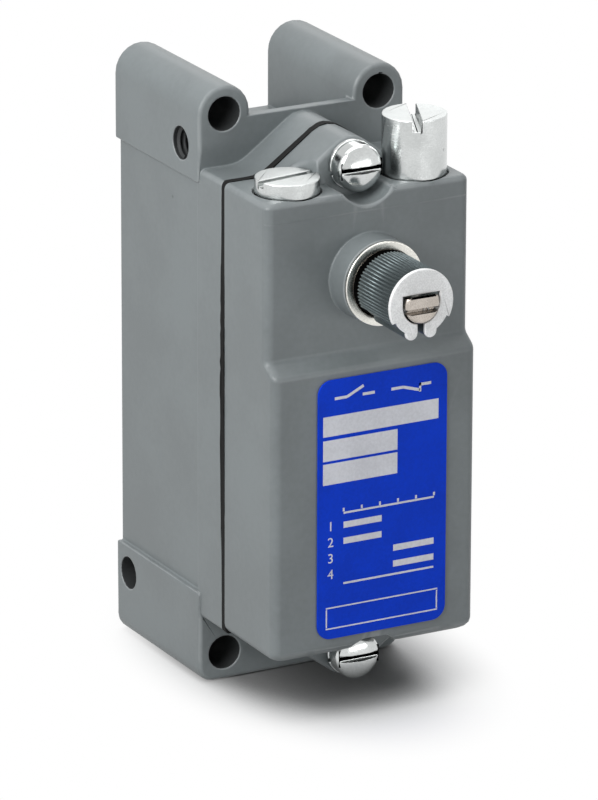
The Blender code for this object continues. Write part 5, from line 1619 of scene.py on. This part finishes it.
class LIMITSWITCH_OT_stage(bpy.types.Operator):
    """Set the floor, the soft studio light and the camera"""

    bl_idname = "limit_switch.stage"
    bl_label = "Stage"

    # Each lamp's name, place, width and height, and power
    lamps = (
        ("key", (-0.45, -0.22, 0.32), (0.34, 0.34), 2.6),
        ("top", (0.0, 0.12, 0.85), (1.0, 1.0), 4.6),
        ("front", (0.30, -0.95, 0.0), (0.8, 0.10), 1.3),
        ("back", (0.36, 0.50, 0.45), (0.4, 0.4), 0.55),
    )
    room = {"Color": (0.92, 0.96, 1.0, 1.0), "Strength": 0.18}
    white = {"Color": (1.0, 1.0, 1.0, 1.0), "Strength": 1.0}
    sensor = 36.0
    floor_radius = 1.6
    # The contact shadow: how far the floor looks for what hides the room, and the shares hidden
    hidden_reach, hidden_range = 0.08, (0.15, 0.75)
    # The oval round the object beyond which the floor turns white
    oval = {"Location": (-0.003, -0.006, 0.0), "Scale": (1.0, 0.6, 1.0)}
    oval_range = (0.017, 0.040)

    def execute(self, context):
        look = context.scene.limit_switch.stage
        scene = context.scene
        scene.view_settings.view_transform = "Standard"
        self.camera(scene, look)
        self.world(scene)
        self.floor(look)
        for lamp in self.lamps:
            self.lamp(scene, *lamp)
        return {"FINISHED"}

    def camera(self, scene, look):
        """The camera, turned and raised round its target."""
        data = bpy.data.cameras.new("photo_camera")
        data.lens = look.lens
        data.sensor_width = self.sensor
        camera = bpy.data.objects.new("photo_camera", data)
        scene.collection.objects.link(camera)
        level = math.cos(look.elevation)
        aside, ahead = math.sin(look.azimuth) * level, -math.cos(look.azimuth) * level
        back = Vector((aside, ahead, math.sin(look.elevation)))
        roll = Matrix.Rotation(look.roll, 4, "Z")
        turn = back.to_track_quat("Z", "Y").to_matrix().to_4x4() @ roll
        camera.matrix_world = Matrix.Translation(Vector(look.target) + back * look.distance) @ turn
        scene.camera = camera

    def world(self, scene):
        """Pale studio walls, which the camera and bright metal see as white."""
        world = bpy.data.worlds.new("studio")
        world.use_nodes = True
        tree = world.node_tree
        tree.nodes.clear()
        path = add(tree, "ShaderNodeLightPath").outputs
        seen = maths(tree, "MAXIMUM", path["Is Camera Ray"], path["Is Transmission Ray"])
        seen = maths(tree, "MAXIMUM", seen, path["Is Glossy Ray"])
        room = add(tree, "ShaderNodeBackground", self.room).outputs[0]
        white = add(tree, "ShaderNodeBackground", self.white).outputs[0]
        both = add(tree, "ShaderNodeMixShader", {0: seen, 1: room, 2: white})
        add(tree, "ShaderNodeOutputWorld", {"Surface": both.outputs[0]})
        scene.world = world

    def floor(self, look):
        """A white floor that keeps the object's shadow and is clear from below."""
        low, high = CAD_BOX
        bm = bmesh.new()
        bmesh.ops.create_circle(bm, cap_ends=True, segments=96, radius=self.floor_radius)
        floor = linked_object("floor", bm)
        floor.location = (*((low + high) / 2).xy, low.z - look.floor_gap)
        material, tree, shader, place = new_material("floor_paper")
        path = add(tree, "ShaderNodeLightPath").outputs
        reach = {"Distance": self.hidden_reach}
        open_sky = add(tree, "ShaderNodeAmbientOcclusion", reach).outputs["AO"]
        lit = ramp(tree, open_sky, *self.hidden_range)
        paper = mix_colour(tree, lit, look.contact, look.floor)
        paper = mix_colour(tree, path["Is Camera Ray"], look.bounce, paper)
        set_inputs(tree, shader, {"Base Color": paper, "Roughness": 0.9})
        seen = maths(tree, "MAXIMUM", path["Is Camera Ray"], path["Is Glossy Ray"])
        white = add(tree, "ShaderNodeEmission", self.white).outputs[0]
        around = add(tree, "ShaderNodeMapping", {"Vector": place, **self.oval}).outputs[0]
        away = add(tree, "ShaderNodeVectorMath", {0: around}, operation="LENGTH").outputs["Value"]
        far = times(tree, ramp(tree, away, *self.oval_range), seen)
        both = add(tree, "ShaderNodeMixShader", {0: far, 1: shader.outputs[0], 2: white}).outputs[0]
        below = add(tree, "ShaderNodeNewGeometry").outputs["Backfacing"]
        clear = add(tree, "ShaderNodeBsdfTransparent").outputs[0]
        sided = add(tree, "ShaderNodeMixShader", {0: below, 1: both, 2: clear}).outputs[0]
        tree.links.new(sided, tree.nodes["Material Output"].inputs["Surface"])
        floor.data.materials.append(material)

    def lamp(self, scene, name, place, size, power):
        """A soft box that faces the origin."""
        data = bpy.data.lights.new(name, "AREA")
        data.shape = "RECTANGLE"
        data.size, data.size_y = size
        data.energy = power
        lamp = bpy.data.objects.new(name, data)
        scene.collection.objects.link(lamp)
        turn = Vector(place).to_track_quat("Z", "Y").to_matrix().to_4x4()
        lamp.matrix_world = Matrix.Translation(place) @ turn


class LIMITSWITCH_PT_panel(bpy.types.Panel):
    """Lists the operators and the looks that they use"""

    bl_label = "Limit Switch"
    bl_idname = "LIMITSWITCH_PT_panel"
    bl_space_type = "VIEW_3D"
    bl_region_type = "UI"
    bl_category = "Limit Switch"

    def draw(self, context):
        settings = context.scene.limit_switch
        for operator in OPERATORS:
            self.layout.operator(operator.bl_idname)
        for look in (settings.casting, settings.metal, settings.plate, settings.stage):
            box = self.layout.box()
            for name in look.__annotations__:
                box.prop(look, name)


LOOKS = [CastingLook, MetalLook, PlateLook, StageLook, LimitSwitchLook]
OPERATORS = [
    LIMITSWITCH_OT_base,
    LIMITSWITCH_OT_cover,
    LIMITSWITCH_OT_gasket,
    LIMITSWITCH_OT_cover_screws,
    LIMITSWITCH_OT_plugs,
    LIMITSWITCH_OT_bush,
    LIMITSWITCH_OT_shaft,
    LIMITSWITCH_OT_sleeve,
    LIMITSWITCH_OT_nameplate,
    LIMITSWITCH_OT_springs,
    LIMITSWITCH_OT_inner_pieces,
    LIMITSWITCH_OT_stage,
]
CLASSES = [*LOOKS, *OPERATORS, LIMITSWITCH_PT_panel]


def register():
    for cls in CLASSES:
        bpy.utils.register_class(cls)
    bpy.types.Scene.limit_switch = PointerProperty(type=LimitSwitchLook)


def unregister():
    del bpy.types.Scene.limit_switch
    for cls in reversed(CLASSES):
        bpy.utils.unregister_class(cls)


def main():
    register()
    for operator in OPERATORS:
        group, name = operator.bl_idname.split(".")
        getattr(getattr(bpy.ops, group), name)()


if __name__ == "__main__":
    main()
